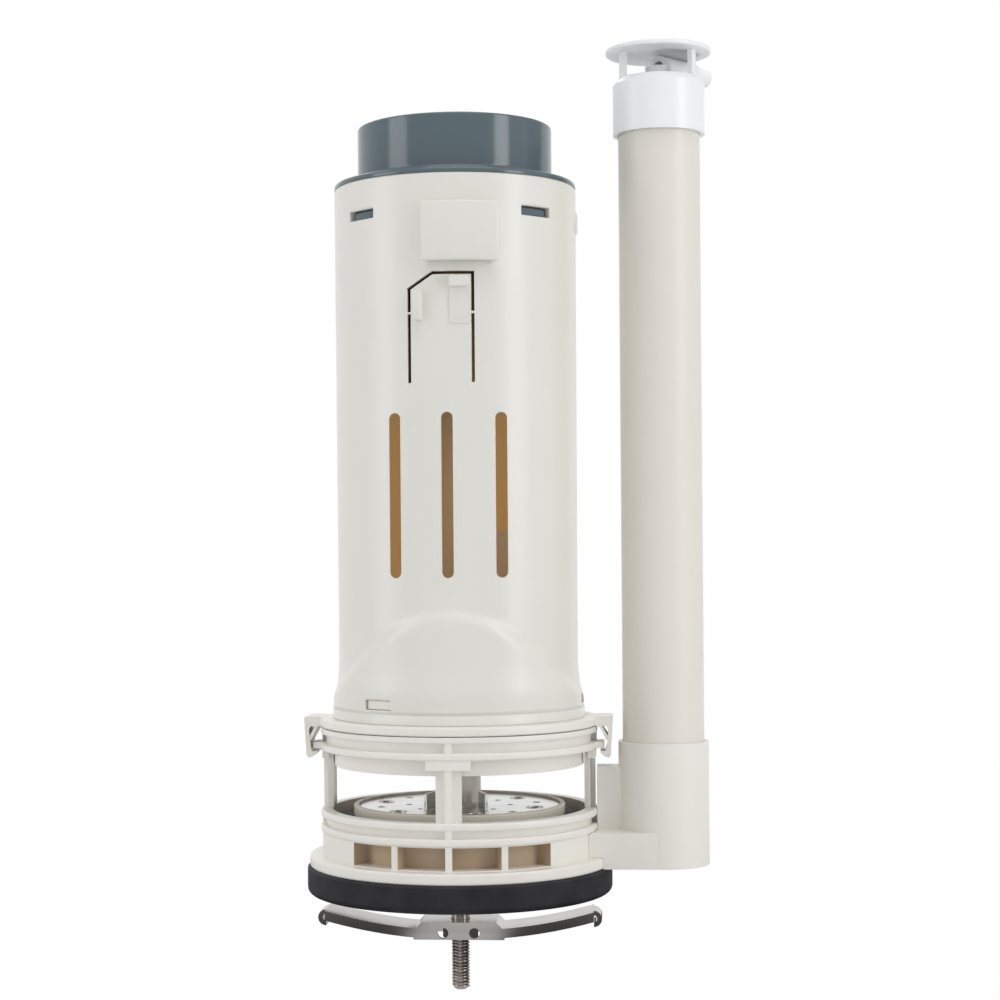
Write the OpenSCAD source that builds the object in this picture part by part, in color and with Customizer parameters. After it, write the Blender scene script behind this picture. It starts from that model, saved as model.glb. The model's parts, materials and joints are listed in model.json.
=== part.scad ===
// Tower-style flush valve for a toilet tank with a side overflow tube.
// Millimetres, +Z up. The origin is the centre of the tank gasket's underside,
// -Y is the front and +X points to the overflow tube.

/* [Outlet] */
// Outside diameter of the tank gasket
gasket_d = 98; // [94:0.5:104]
// Thickness of the tank gasket
gasket_h = 8.7; // [6:0.1:12]
// Outside diameter of the spigot in the tank outlet
spigot_d = 71; // [66:0.5:72]
// Length of the spigot below the gasket
spigot_drop = 2; // [1.4:0.1:2.6]
// Wall of the spigot
spigot_wall = 2.8; // [2:0.1:3.5]

/* [Seat cage] */
// How far the tank gasket stands out past the bottom flange
gasket_lip = 0.8; // [0.3:0.1:1.5]
// Thickness of the bottom flange
flange_h = 3.6; // [2.5:0.1:5]
// Height of the ribbed pockets
pocket_h = 7.4; // [5:0.1:10]
// Diameter of the wall behind the pockets
pocket_d = 77; // [76.6:0.2:80]
// Angle between the pocket ribs
rib_pitch = 22.5; // [18:0.5:26]
// Width of the upright ribs
rib_w = 2.1; // [1.5:0.1:3]
// Outside diameter of the cage rings
ring_d = 89; // [87:0.2:91]
// Thickness of a cage ring
ring_h = 2.4; // [1.8:0.1:3]
// Height of the groove between the seat rings
groove_h = 2.4; // [1.8:0.1:3.5]
// Diameter of the groove wall
groove_d = 85.4; // [85:0.2:86.4]
// Inside diameter of the cup around the seal
cup_d = 81.6; // [81:0.2:82.4]
// Inside diameter of the seat lip
lip_d = 73; // [72:0.2:74]
// Width of the seat lip
lip_w = 1.5; // [1:0.1:1.8]
// Height of the seat lip over its shelf
lip_h = 1.2; // [0.8:0.1:1.6]
// Height of the open window
window_h = 18.8; // [17:0.1:24]
// Width of a cage post
post_w = 8; // [6:0.2:11]
// Width of the head on top of a cage post
post_head_w = 14; // [12:0.5:18]
// Height of the head on top of a cage post
post_head_h = 2.8; // [2:0.1:4]
// Height of the groove under the cage's top flange
top_groove_h = 3; // [2:0.1:4]
// Thickness of the cage's top flange
top_flange_h = 1.8; // [1.4:0.1:2.6]
// Diameter of the screw hub
hub_d = 14; // [12:0.5:18]
// Height of the screw hub
hub_h = 6; // [5:0.2:6]
// Thickness of the hub's arms
spider_t = 2.5; // [2:0.1:4]

/* [Lock collar] */
// Thickness of the collar plate
collar_h = 2.8; // [2:0.1:4]
// Outside diameter of the sleeve inside the cage
sleeve_d = 80; // [79:0.2:80.4]
// Wall of the sleeve
sleeve_wall = 2.2; // [1.6:0.1:2.6]
// Length of the sleeve below the collar plate
sleeve_drop = 12.3; // [9:0.1:14]
// Width of a hook ear
ear_w = 12; // [8:0.5:16]
// How far a hook ear stands out past the rings
ear_reach = 5; // [4.6:0.1:6]
// Thickness of a hook ear
ear_t = 1.5; // [1.2:0.1:1.8]
// How far the catch lug under a hook ear stands out past the rings
lug_reach = 2.2; // [1.6:0.1:2.4]
// Height of the ring that plugs into the tower
plug_h = 11; // [9:0.2:13]
// Length of the stem guide
guide_h = 16; // [12:0.5:18]
// Wall of the stem guide
guide_wall = 2.4; // [1.6:0.1:4]

/* [Tower] */
// Outside diameter of the tower
tower_d = 76.8; // [75:0.2:77.4]
// Height of the tower
tower_h = 168.9; // [165:0.5:190]
// Wall of the tower
tower_wall = 1.9; // [1.4:0.1:2.2]
// Diameter of the tower's top edge
tower_top_d = 77.6; // [77.4:0.2:79]
// Diameter of the tower's foot
tower_foot_d = 81; // [80:0.2:82]
// Height of the flare at the tower's foot
flare_h = 19; // [16:0.5:22]
// Height of the band under the flare
band_h = 3.4; // [2:0.1:4]
// How far the arch stands out of the tower
arch_proud = 1.6; // [0.6:0.1:1.8]
// Height of the arch over the tower's bottom
arch_h = 36; // [30:0.2:40]
// Fall of the arch from its crown to the tower's sides
arch_fall = 25.6; // [22:0.2:28]
// Width of an inspection slot
slot_w = 3.6; // [2.5:0.1:5]
// Height of an inspection slot
slot_h = 50.7; // [40:0.5:55]
// Height of the slots over the tower's bottom
slot_z = 45.1; // [42:0.5:50]
// Angle between the slots
slot_pitch = 25.2; // [20:0.2:32]
// Width of a snap window at the top
snap_w = 11.5; // [8:0.5:13]
// Height of a snap window
snap_h = 3; // [2.4:0.1:4]
// Depth of the top snap windows under the tower's top edge
snap_drop = 10.9; // [9:0.1:12]
// Width of a snap window at the foot
low_snap_w = 10; // [7:0.5:12]
// Height of the low snap windows over the tower's bottom
low_snap_z = 6; // [5:0.1:7]
// Direction of the first low snap window
low_snap_angle = -34; // [-60:1:-20]
// Width of the accessory pocket, as an angle
holder_span = 33; // [24:0.5:40]
// Direction of the accessory pocket
holder_angle = 6.5; // [0:0.5:12]
// Height of the accessory pocket
holder_h = 18.2; // [14:0.2:20]
// How far the accessory pocket stands out of the tower
holder_proud = 4; // [3.4:0.1:5]
// Wall of the accessory pocket
holder_wall = 1.6; // [1.2:0.1:1.8]
// Depth of the accessory pocket's top under the tower's top edge
holder_drop = 9.1; // [6:0.1:9.4]
// Width of the latch tongue
tongue_w = 19.6; // [16:0.2:24]
// Height of the latch tongue
tongue_h = 33.4; // [28:0.2:36]
// Width of the slit around the latch tongue
slit_w = 1; // [0.8:0.1:1.4]
// Direction of the latch tongue
tongue_angle = -2.5; // [-6:0.5:2]
// How far the bumps stand out of the latch tongue
bump_proud = 2.4; // [1.5:0.1:3]

/* [Top cap] */
// Thickness of the cap's flange and floor
floor_h = 1.8; // [1.4:0.1:2.4]
// Diameter of the cap's flange
cap_d = 77.6; // [76:0.2:79]
// Outside diameter of the cap's collar
neck_d = 62.4; // [61:0.2:66]
// Wall of the cap's collar
neck_wall = 2.2; // [1.6:0.1:2.6]
// Height of the cap's collar over the flange
neck_h = 18.1; // [16:0.1:22]
// Length of the skirt inside the tower
skirt_h = 15.3; // [14:0.1:18]
// Wall of the skirt
skirt_wall = 2; // [1.6:0.1:2.4]
// Thickness of the push plate
plate_h = 2.5; // [1.8:0.1:3]
// Depth of the push plate under the collar's rim
plate_drop = 1.7; // [1:0.1:3]
// Wire diameter of the return spring
spring_wire = 1.2; // [0.8:0.1:1.4]
// Mean diameter of the return spring
spring_d = 32; // [28:0.5:36]
// Number of turns of the return spring
spring_turns = 4.5; // [3:0.5:5]

/* [Rocker levers] */
// Distance of a lever pin from the axis
pivot_x = 18.5; // [18.2:0.1:19]
// Length of a lever's inner arm
arm_in = 12; // [11.4:0.1:12.4]
// Length of a lever's outer arm
arm_out = 7.5; // [7:0.1:8]
// Swing of a lever each way from level
swing = 30; // [26:1:30]
// Thickness of a lever
lever_t = 6; // [4:0.2:8]
// Diameter of the round lever ends
knob_d = 3; // [2.6:0.1:3.2]
// Thickness of a lever's arms
arm_t = 1.8; // [1.4:0.1:1.9]
// Diameter of a lever pin
pin_d = 3; // [2:0.1:3.4]
// Depth of the lever pins under the cap's floor
pivot_drop = 10.8; // [10.8:0.1:12]
// Thickness of a pin bracket
bracket_t = 2.6; // [2:0.1:4]

/* [Stem and disc] */
// Diameter of the lift stem
stem_d = 13; // [11:0.2:13.4]
// Diameter of the stem's foot shank
shank_d = 9; // [7:0.2:9.6]
// Diameter of the stem's hub on the disc
stem_hub_d = 16; // [15:0.5:17]
// Height of the stem's hub
stem_hub_h = 2; // [1.4:0.1:3]
// Diameter of the lift head
head_d = 18; // [17.4:0.1:18.2]
// Thickness of the lift head
head_h = 2.8; // [2:0.1:3]
// Diameter of the neck under the lift head
head_neck_d = 8; // [6:0.2:8.6]
// Length of the neck under the lift head
head_neck_h = 9; // [8:0.2:12]
// Diameter of the rubber seal
seal_d = 77; // [76:0.2:78]
// Thickness of the rubber seal
seal_h = 2.3; // [1.8:0.1:3]
// Diameter of the disc's dish
dish_d = 68; // [60:0.5:70]
// Height of the dish's rim
dish_h = 3.6; // [3:0.1:4.6]
// Thickness of the dish's floor
dish_floor = 1.8; // [1.4:0.1:2.2]
// Thickness of the perforated plate
weight_t = 1; // [0.8:0.1:1.2]
// Height of the plate's upright tabs
tab_h = 6.2; // [4:0.2:8]
// Width of the plate's upright tabs
tab_w = 9.4; // [6:0.2:11]
// Turn of the plate's upright tabs away from the front
tab_turn = 18; // [12:1:24]
// Diameter of the seal's retainer
retainer_d = 62; // [52:0.5:64]
// Thickness of the seal's retainer
retainer_h = 2.5; // [2:0.1:2.8]
// Width across the flats of the bottom nut
bottom_nut_af = 16; // [14:0.5:20]
// Height of the bottom nut
bottom_nut_h = 3.6; // [3:0.1:3.8]
// Outside diameter of the float cup
float_d = 66; // [60:0.5:68]
// Height of the float cup
float_h = 27; // [22:0.5:29]
// Height of the float cup's edge over the stem guide
float_gap = 6; // [4:0.2:8]
// Wall of the float cup and of the side float
float_wall = 1.5; // [1.2:0.1:2.2]
// Height of the float's clip
clip_h = 2.4; // [1.8:0.1:3]
// Height of the side float
side_float_h = 17; // [12:0.5:20]
// Length of the side float away from the stem
side_float_l = 16; // [12:0.5:19]
// Width of the side float
side_float_w = 16; // [12:0.5:20]

/* [Overflow] */
// Outside diameter of the overflow tube
tube_d = 26; // [24:0.2:26.4]
// Wall of the overflow tube
tube_wall = 1.5; // [1.2:0.1:2]
// Length of the overflow tube
tube_l = 233; // [200:1:240]
// Distance of the overflow tube from the valve's axis
tube_x = 65.6; // [64:0.2:70]
// Wall of the tube's socket
socket_wall = 1.2; // [1:0.1:2]
// Height of the foot under the socket
foot_h = 11.3; // [10.4:0.1:12]
// Depth of the tube in its socket
socket_depth = 24; // [18:0.2:26]
// Thickness of the washer under the tube
washer_h = 2; // [1.4:0.1:2.4]
// Height of the water channel in the foot
channel_h = 6.5; // [5:0.1:6.6]
// Width of the water channel in the foot
channel_w = 19; // [14:0.2:20]
// Thickness of the web beside the socket
web_t = 9; // [6:0.2:11]
// Height of the web beside the socket
web_h = 20; // [16:0.2:21]
// Wall of the overflow cap's collar
hood_wall = 1.4; // [1:0.1:2]
// Height of the overflow cap's collar
hood_h = 17.8; // [14:0.2:18.4]
// Height of the open gap under the overflow cap's disc
hood_gap = 8; // [7.8:0.1:10]
// Diameter of the overflow cap's disc
hood_disc_d = 33.6; // [31:0.2:36]
// Thickness of the overflow cap's disc at its edge
hood_disc_h = 1.6; // [1.2:0.1:2.4]
// Rise of the overflow cap's dome
hood_dome_h = 1.9; // [1:0.1:3]
// Diameter of the refill nipple's root
nipple_d = 7.5; // [6.5:0.1:7.6]
// Diameter of the hose stub on the refill nipple
stub_d = 6; // [5:0.1:6.2]
// Length of the hose stub
stub_l = 6.8; // [6:0.2:10]
// Bore of the refill nipple
nipple_bore = 4; // [3:0.1:4.4]
// Direction of the refill nipple, from the side to the back
nipple_angle = 50; // [46:1:60]

/* [Clamp] */
// Diameter of the clamp screw
screw_d = 5.8; // [5:0.1:6]
// Length of the clamp screw below the gasket
screw_drop = 32; // [30:0.5:40]
// Width across the flats of the screw's head
screw_head_af = 10; // [9:0.2:11]
// Height of the screw's head
screw_head_h = 4; // [3.4:0.1:4.4]
// Travel of the clamp bar
bar_travel = 11; // [6:0.5:11]
// Length of the clamp bar
bar_l = 86; // [78:0.5:90]
// Width of the clamp bar
bar_w = 16; // [14:0.2:20]
// Thickness of the clamp bar's sheet
bar_t = 1.5; // [1:0.1:1.8]
// Depth of the clamp bar's channel
bar_depth = 3; // [2.6:0.1:4]
// Radius of the clamp bar's bow
bow_r = 157; // [140:1:180]
// Height of the raised middle of the clamp bar
hat_h = 2.5; // [1.8:0.1:2.8]
// Length of the raised middle of the clamp bar
hat_l = 24; // [22:0.5:30]
// Distance of the clamp bar's middle under the gasket
bar_z = 11.9; // [11.4:0.1:14]
// Width across the flats of the clamp nut
clamp_nut_af = 10; // [9:0.2:11]
// Height of the clamp nut
clamp_nut_h = 4.6; // [3.6:0.1:5]

/* [Hidden] */
$fn = 96;

// Overlap of joined shapes and overrun of cuts
eps = 0.2;
// Clearance between pieces that are seated on each other
fit = 0.2;
// Clearance between pieces that move past each other
run = 0.3;
// Clearance of a lever on its pin, and of a pin in its bracket
pin_run = 0.08;
pin_fit = 0.02;
// Seam between pieces that are welded together
seam = 0.04;
// Rounding of moulded edges
edge_r = 0.7;
// Lead of a thread or a chamfer
lead = 0.8;

// Heights of the cage, from the gasket's underside up
z_pocket = gasket_h + flange_h;
z_low_ring = z_pocket + pocket_h;
z_groove = z_low_ring + ring_h;
z_rim_ring = z_groove + groove_h;
z_rim = z_rim_ring + ring_h;
z_high_ring = z_rim + window_h;
z_top_groove = z_high_ring + ring_h;
z_top_flange = z_top_groove + top_groove_h;
z_cage_top = z_top_flange + top_flange_h;
z_shelf = z_low_ring + 1.2;
z_seat = z_shelf + lip_h;
z_step = gasket_h + spigot_wall;

// Radii of the cage
spigot_r = spigot_d / 2;
flange_r = gasket_d / 2 - gasket_lip;
pocket_r = pocket_d / 2;
drum_r = ring_d / 2 - 0.5;
rib_span = rib_w / drum_r * 180 / PI;
bore_r = spigot_r - spigot_wall;
ring_r = ring_d / 2;
lip_r = lip_d / 2;
cup_r = cup_d / 2;
sleeve_r = sleeve_d / 2;
cage_in_r = sleeve_r + run;
post_r = (cage_in_r + ring_r) / 2;

// Direction and width of the plain pad on the tower's side
pad_angle = 96;
pad_span = 24;

// Heights of the collar, the tower and the cap
z_collar = z_cage_top + fit;
z_tower = z_collar + collar_h;
z_top = z_tower + tower_h;
z_floor = z_top + floor_h;
z_neck = z_floor + neck_h;
z_plate = z_neck - plate_drop;
z_plate_low = z_plate - plate_h;
z_snap = z_top - snap_drop;
z_low_snap = z_tower + low_snap_z;
z_holder = z_top - holder_drop - holder_h;
z_tongue = z_holder - 3.4 - tongue_h;

// Radii of the tower and the cap
tower_r = tower_d / 2;
tower_in_r = tower_r - tower_wall;
tower_foot_r = tower_foot_d / 2;
plug_r = tower_foot_r - tower_wall - fit;
skirt_r = tower_in_r - run;
neck_r = neck_d / 2;
neck_in_r = neck_r - neck_wall;
plate_r = neck_in_r - run;

// Levers: the stem and the push plate move by what the lever ends move
pivot_z = z_top - pivot_drop;
knob_r = knob_d / 2;
pin_r = pin_d / 2;
hub_r = pin_r + 1.7;
stem_lift = 2 * arm_in * sin(swing);
plate_travel = 2 * arm_out * sin(swing);
leg_x = pivot_x + arm_out;
leg_t = 3.8;
leg_w = lever_t;
z_leg = pivot_z + arm_out * sin(swing) + knob_r + run;
z_head = pivot_z - arm_in * sin(swing) + knob_r + run;

// Stem and disc
stem_r = stem_d / 2;
shank_r = shank_d / 2;
z_seal = z_seat + 0.1;
z_dish = z_seal + seal_h;
z_weight = z_dish + dish_floor;
z_retainer = z_seal - retainer_h;
z_bottom_nut = z_retainer - bottom_nut_h;
z_stem_top = z_head - head_neck_h;
z_guide = z_collar - 6;
guide_r = stem_r + run;
z_float = z_guide + guide_h + float_gap;
z_clip = z_float + float_h;
z_side_float = z_clip + clip_h;

// Overflow
tube_r = tube_d / 2;
socket_in_r = tube_r + fit;
socket_r = socket_in_r + socket_wall;
z_foot = gasket_h + foot_h;
z_washer = z_foot + 2;
z_tube = z_washer + washer_h;
z_socket = z_tube + socket_depth;
z_tube_top = z_tube + tube_l;
hood_in_r = tube_r + fit;
hood_r = hood_in_r + hood_wall;
hood_roof = 2.1;
z_hood = z_tube_top + fit + hood_roof - hood_h;
z_hood_top = z_hood + hood_h;
z_hood_disc = z_hood_top + hood_gap;
z_nipple = z_hood_top + hood_gap / 2;
nipple_root = hood_disc_d / 2 + 0.4;

// Clamp
screw_r = screw_d / 2;
z_screw_washer = hub_h;
screw_washer_h = 1;
z_screw_head = z_screw_washer + screw_washer_h + 0.1;
z_hat = hat_h - bar_z;
z_clamp_nut = z_hat - bar_t - clamp_nut_h;
bow_z = bow_r - bar_z;
bar_end_z = bow_z - sqrt(bow_r * bow_r - bar_l * bar_l / 4);
curl_r = 2.6;

white = [0.89, 0.89, 0.86];
cream = [0.92, 0.9, 0.85];
cool_white = [0.94, 0.95, 0.96];
slate = [0.34, 0.41, 0.44];
black = [0.12, 0.12, 0.13];
steel = [0.75, 0.76, 0.77];
amber = [0.85, 0.78, 0.62];

// Points along an arc
function arc(x, y, r, from, to, n = 4) =
    [for (i = [0:n]) let (a = from + (to - from) * i / n) [x + r * cos(a), y + r * sin(a)]];

// The rounded outer edge of a ring between two heights
function rim(r, low, high, round = edge_r) = concat(
    arc(r - round, low + round, round, -90, 0),
    arc(r - round, high - round, round, 0, 90)
);

// Outline of an upright slot with round ends, around its own foot point
function slot_outline(w, h) = concat(
    arc(0, h - w / 2, w / 2, 0, 180, 12),
    arc(0, w / 2, w / 2, 180, 360, 12)
);

// Outline of the latch tongue with one cut corner, grown on all sides but the bottom
function tongue_outline(grow, low) = [
    [-tongue_w / 2 - grow, low],
    [-tongue_w / 2 - grow, tongue_h * 0.86 + grow / 2],
    [-tongue_w * 0.13 - grow / 2, tongue_h + grow],
    [tongue_w / 2 + grow, tongue_h + grow],
    [tongue_w / 2 + grow, low]
];

// Points of a wire's round section on a coil
function coil_ring(r, wire, pitch, turn, sides) = [
    for (k = [0:sides - 1])
        let (s = 360 * k / sides, a = 360 * turn, reach = r + wire * cos(s))
        [reach * cos(a), reach * sin(a), pitch * turn + wire * sin(s)]
];

module ring(outer, inner, h) {
    difference() {
        cylinder(r = outer, h = h);
        translate([0, 0, -eps]) cylinder(r = inner, h = h + 2 * eps);
    }
}

// Part of a ring around a direction, with angles from the front towards the tube
module sector(inner, outer, h, mid, span) {
    rotate([0, 0, mid - span / 2 - 90])
        rotate_extrude(angle = span)
            translate([inner, 0]) square([outer - inner, h]);
}

// A flat outline (sideways, up) pushed out from the axis in one direction
module radial(angle, reach, start = 0) {
    rotate([0, 0, angle]) translate([0, -start, 0]) rotate([90, 0, 0])
        linear_extrude(reach - start) children();
}

// A block at a radius in one direction, centred sideways
module radial_block(angle, inner, outer, w, low, high) {
    rotate([0, 0, angle]) translate([-w / 2, -outer, low])
        cube([w, outer - inner, high - low]);
}

// A round bar along Y, centred on the XZ plane
module cross_bar(r, w) {
    rotate([90, 0, 0]) translate([0, 0, -w / 2]) cylinder(r = r, h = w);
}

module hex_bar(across_flats, h) {
    cylinder(r = across_flats / sqrt(3), h = h, $fn = 6);
}

// Revolved outlet: spigot, flange, drum, seat rings and seat lip
module seat_profile() {
    rotate_extrude() polygon(concat(
        [[bore_r, -spigot_drop], [spigot_r - lead, -spigot_drop], [spigot_r, lead - spigot_drop]],
        [[spigot_r, gasket_h]],
        rim(flange_r, gasket_h, z_pocket),
        [[drum_r, z_pocket], [drum_r, z_low_ring]],
        rim(ring_r, z_low_ring, z_groove),
        [[groove_d / 2, z_groove], [groove_d / 2, z_rim_ring]],
        rim(ring_r, z_rim_ring, z_rim),
        [[cup_r, z_rim], [cup_r, z_shelf], [lip_r + lip_w, z_shelf], [lip_r + lip_w, z_seat]],
        [[lip_r, z_seat], [lip_r, z_step], [bore_r, z_step]]
    ));
}

// Revolved top of the cage: the ring that the collar hooks under, its groove and its flange
module cage_head_profile() {
    rotate_extrude() polygon(concat(
        [[cage_in_r, z_high_ring]],
        rim(ring_r, z_high_ring, z_top_groove),
        [[groove_d / 2, z_top_groove], [groove_d / 2, z_top_flange]],
        rim(ring_r, z_top_flange, z_cage_top, edge_r / 2),
        [[cage_in_r, z_cage_top]]
    ));
}

// T-section post with a wide head, and its rib carried on across the top groove
module cage_post(angle) {
    head_span = post_head_w / ring_r * 180 / PI;
    rotate([0, 0, angle]) {
        translate([0, 0, z_rim])
            sector(cage_in_r + fit, post_r, z_high_ring - z_rim + eps, 0, post_w / post_r * 180 / PI);
        radial_block(0, post_r - eps, ring_r - edge_r, rib_w, z_rim, z_high_ring + eps);
        radial_block(0, groove_d / 2 - eps, ring_r - fit, rib_w, z_top_groove - eps, z_top_flange + eps);
        translate([0, 0, z_high_ring - post_head_h])
            sector(post_r - 2 * eps, ring_r - 2 * fit, post_head_h + eps, 0, head_span);
    }
}

// Upper cage: four posts under the ring that carries the collar, with a lug for each hook ear
module seat_cage() {
    color(cream) {
        cage_head_profile();
        for (a = [0:90:270]) cage_post(a);
        for (a = [90, 270])
            radial_block(a, ring_r - 1, ring_r + lug_reach, ear_w - 2, z_high_ring + fit, z_top_groove - fit);
    }
}

// Outlet with its seat, and pockets between ribs at the front and at the back
module outlet_seat() {
    color(cream) difference() {
        union() {
            seat_profile();
            for (a = [0:90:270])
                radial_block(a, groove_d / 2 - eps, ring_r - fit, rib_w, z_groove - eps, z_rim_ring + eps);
        }
        for (a = [0, 180], i = [-1.5:1.5])
            translate([0, 0, z_pocket + fit])
                sector(pocket_r, ring_r, pocket_h - 2 * fit, a + i * rib_pitch, rib_pitch - rib_span);
        overflow_waterway();
    }
}

// Foot, socket and web that carry the overflow tube beside the cage
module overflow_foot() {
    foot_w = 2 * (socket_r - fit);
    color(cream) difference() {
        union() {
            translate([tube_x, 0, gasket_h]) cylinder(r = socket_r, h = z_socket - gasket_h);
            translate([drum_r - 3, -foot_w / 2, gasket_h]) cube([tube_x - drum_r + 3, foot_w, foot_h]);
            translate([ring_r - 1, -web_t / 2, z_foot - eps]) cube([tube_x - ring_r + 1, web_t, web_h + eps]);
        }
        outlet_room();
        overflow_waterway();
    }
}

// Room that the foot leaves for the outlet and the cage
module outlet_room() {
    translate([0, 0, gasket_h - eps]) cylinder(r = flange_r + seam, h = flange_h + eps + seam);
    translate([0, 0, gasket_h]) cylinder(r = drum_r + seam, h = z_low_ring - gasket_h);
    translate([0, 0, z_low_ring - seam]) cylinder(r = ring_r + seam, h = z_socket - z_low_ring);
}

// Water path from the tube down through the foot into the outlet
module overflow_waterway() {
    throat_r = tube_r - tube_wall - 0.6;
    translate([tube_x, 0, z_washer]) cylinder(r = socket_in_r, h = z_socket - z_washer + eps);
    translate([tube_x, 0, z_step]) cylinder(r = throat_r, h = z_washer - z_step + eps);
    translate([lip_r - 2, -channel_w / 2, z_step]) cube([tube_x - lip_r + 2, channel_w, channel_h]);
}

// Hub and arms inside the spigot that carry the clamp screw
module screw_spider() {
    color(cream) difference() {
        union() {
            cylinder(r = hub_d / 2, h = hub_h);
            intersection() {
                cylinder(r = bore_r - seam, h = hub_h);
                for (a = [45:90:315])
                    radial_block(a, hub_d / 2 - 1, bore_r + eps, spider_t, fit, hub_h - edge_r);
            }
        }
        translate([0, 0, -eps]) cylinder(r = screw_r + run, h = hub_h + 2 * eps);
    }
}

module tank_gasket() {
    low_round = 2;
    color(black) rotate_extrude() polygon(concat(
        [[spigot_r + fit, 0]],
        arc(gasket_d / 2 - low_round, low_round, low_round, -90, 0, 6),
        arc(gasket_d / 2 - lead, gasket_h - lead, lead, 0, 90),
        [[spigot_r + fit, gasket_h]]
    ));
}

// Side outline (outwards, up) of a hook ear, from the collar plate out, down and in again
function ear_outline() =
    let (
        out = ring_r + ear_reach,
        in = out - ear_t,
        top = z_tower + 0.3,
        catch = z_high_ring - run,
        low = catch - 2.4
    )
    [
        [ring_r - 2, z_collar], [ring_r - 2, z_tower], [ring_r + 0.5, top], [out - 0.5, top],
        [out, top - 0.5], [out - 0.7, low + 0.8], [out - 1.4, low], [in - 1, low + 0.3],
        [ring_r + 1, catch - 0.8], [ring_r + 1, catch - 0.2], [in - 1, catch - 0.4], [in - 0.5, catch + 1],
        [in, z_collar - 1], [in - 0.6, z_collar]
    ];

// Side outline of the strut from the collar plate to the middle of a hook ear
function strut_outline() =
    let (in = ring_r + ear_reach - ear_t, foot = z_high_ring + ring_h)
    [
        [ring_r + 0.4, z_collar + 0.3], [ring_r + 1.3, z_collar + 0.3], [in, foot + 1.6],
        [in + 0.3, foot + 0.6], [in - 0.6, foot + 0.6]
    ];

module lock_collar() {
    plug_in_r = plug_r - sleeve_wall;
    color(cream) {
        rotate_extrude() polygon(concat(
            [[sleeve_r - sleeve_wall, z_collar - sleeve_drop], [sleeve_r, z_collar - sleeve_drop]],
            [[sleeve_r, z_collar]],
            rim(ring_r, z_collar, z_tower),
            [[plug_r, z_tower], [plug_r, z_tower + plug_h - lead], [plug_r - lead, z_tower + plug_h]],
            [[plug_in_r, z_tower + plug_h], [plug_in_r, z_collar]],
            [[sleeve_r - sleeve_wall, z_collar - 1]]
        ));
        for (a = [0, 180])
            rotate([0, 0, a]) rotate([90, 0, 0]) translate([0, 0, -ear_w / 2]) {
                linear_extrude(ear_w) polygon(ear_outline());
                translate([0, 0, eps]) linear_extrude(ear_w - 2 * eps) polygon(strut_outline());
            }
        for (i = [0:2])
            translate([0, 0, z_low_snap - snap_h / 2 + fit])
                sector(plug_r - eps, tower_foot_r - tower_wall / 2, snap_h - 2 * fit,
                    low_snap_angle + 120 * i, (low_snap_w - 1) / plug_r * 180 / PI);
    }
}

// Tube on three arms inside the collar's sleeve that guides the stem
module stem_guide() {
    color(cream) difference() {
        union() {
            intersection() {
                translate([0, 0, z_guide]) cylinder(r = sleeve_r - sleeve_wall - seam, h = guide_h);
                for (a = [0:120:240])
                    radial_block(a, stem_r, sleeve_r, 2.4, z_guide + 1, z_collar - 1);
            }
            translate([0, 0, z_guide]) cylinder(r = guide_r + guide_wall, h = guide_h);
        }
        translate([0, 0, z_guide - eps]) cylinder(r = guide_r, h = guide_h + 2 * eps);
    }
}

// Outline of the tower's outside from the foot up, closed along the axis
function tower_outside() = concat(
    [[0, z_tower], [tower_foot_r, z_tower], [tower_foot_r, z_tower + band_h - 0.4]],
    [[tower_foot_r - 0.4, z_tower + band_h]],
    [for (i = [1:6])
        let (s = i / 6, flare = tower_foot_r - 0.4 - tower_r)
        [tower_r + flare * pow(1 - s, 1.6), z_tower + band_h + (flare_h - band_h) * s]],
    [[tower_top_d / 2, z_top - lead], [tower_top_d / 2 - 0.3, z_top], [0, z_top]]
);

// Outline of the tower's hollow, closed along the axis
function tower_hollow() =
    let (foot_in_r = tower_foot_r - tower_wall, top_in_r = tower_top_d / 2 - tower_wall)
    [
        [0, z_tower - eps], [foot_in_r, z_tower - eps], [foot_in_r, z_tower + plug_h + 1],
        [tower_in_r, z_tower + plug_h + 4], [tower_in_r, z_snap - 5], [top_in_r, z_top + eps],
        [0, z_top + eps]
    ];

// Outline (sideways, up) of the raised arch, a parabola over the tower's bottom edge
function arch_outline(inset) =
    let (reach = tower_r + 2 * arch_proud, bend = arch_fall / (tower_r * tower_r))
    concat(
        [[reach, 0], [-reach, 0]],
        [for (i = [-12:12])
            let (x = reach * i / 12, slope = 2 * bend * x)
            [x, arch_h - bend * x * x - inset * sqrt(1 + slope * slope)]]
    );

// Raised arch over the foot, front and back, in steps that make its sloped edge
module tower_arch() {
    steps = 4;
    reach = tower_r + 2 * arch_proud;
    for (i = [1:steps])
        intersection() {
            translate([0, 0, z_tower + band_h])
                ring(tower_r + arch_proud * i / steps, tower_in_r + tower_wall / 2, arch_h);
            translate([0, reach, z_tower]) rotate([90, 0, 0])
                linear_extrude(2 * reach) polygon(arch_outline(1.1 * (i - 1)));
        }
}

// Open-bottomed pocket that takes an accessory clip
module accessory_pocket() {
    gap_r = tower_r + holder_proud - holder_wall;
    side = 2 * holder_wall / tower_r * 180 / PI;
    difference() {
        translate([0, 0, z_holder])
            sector(tower_r - tower_wall / 2, tower_r + holder_proud, holder_h, holder_angle, holder_span);
        translate([0, 0, z_holder - eps])
            sector(tower_r + fit, gap_r, holder_h - holder_wall + eps, holder_angle, holder_span - side);
    }
}

// Slit around the latch tongue, with two small bridges left across it
module tongue_slit() {
    bridge_z = tongue_h * 0.63;
    radial(tongue_angle, tower_r + holder_proud, tower_in_r - eps * 5)
        translate([0, z_tongue]) difference() {
            polygon(tongue_outline(slit_w / 2, 0));
            polygon(tongue_outline(-slit_w / 2, -eps));
            translate([-tongue_w, bridge_z]) square([2 * tongue_w, 0.6]);
        }
}

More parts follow.
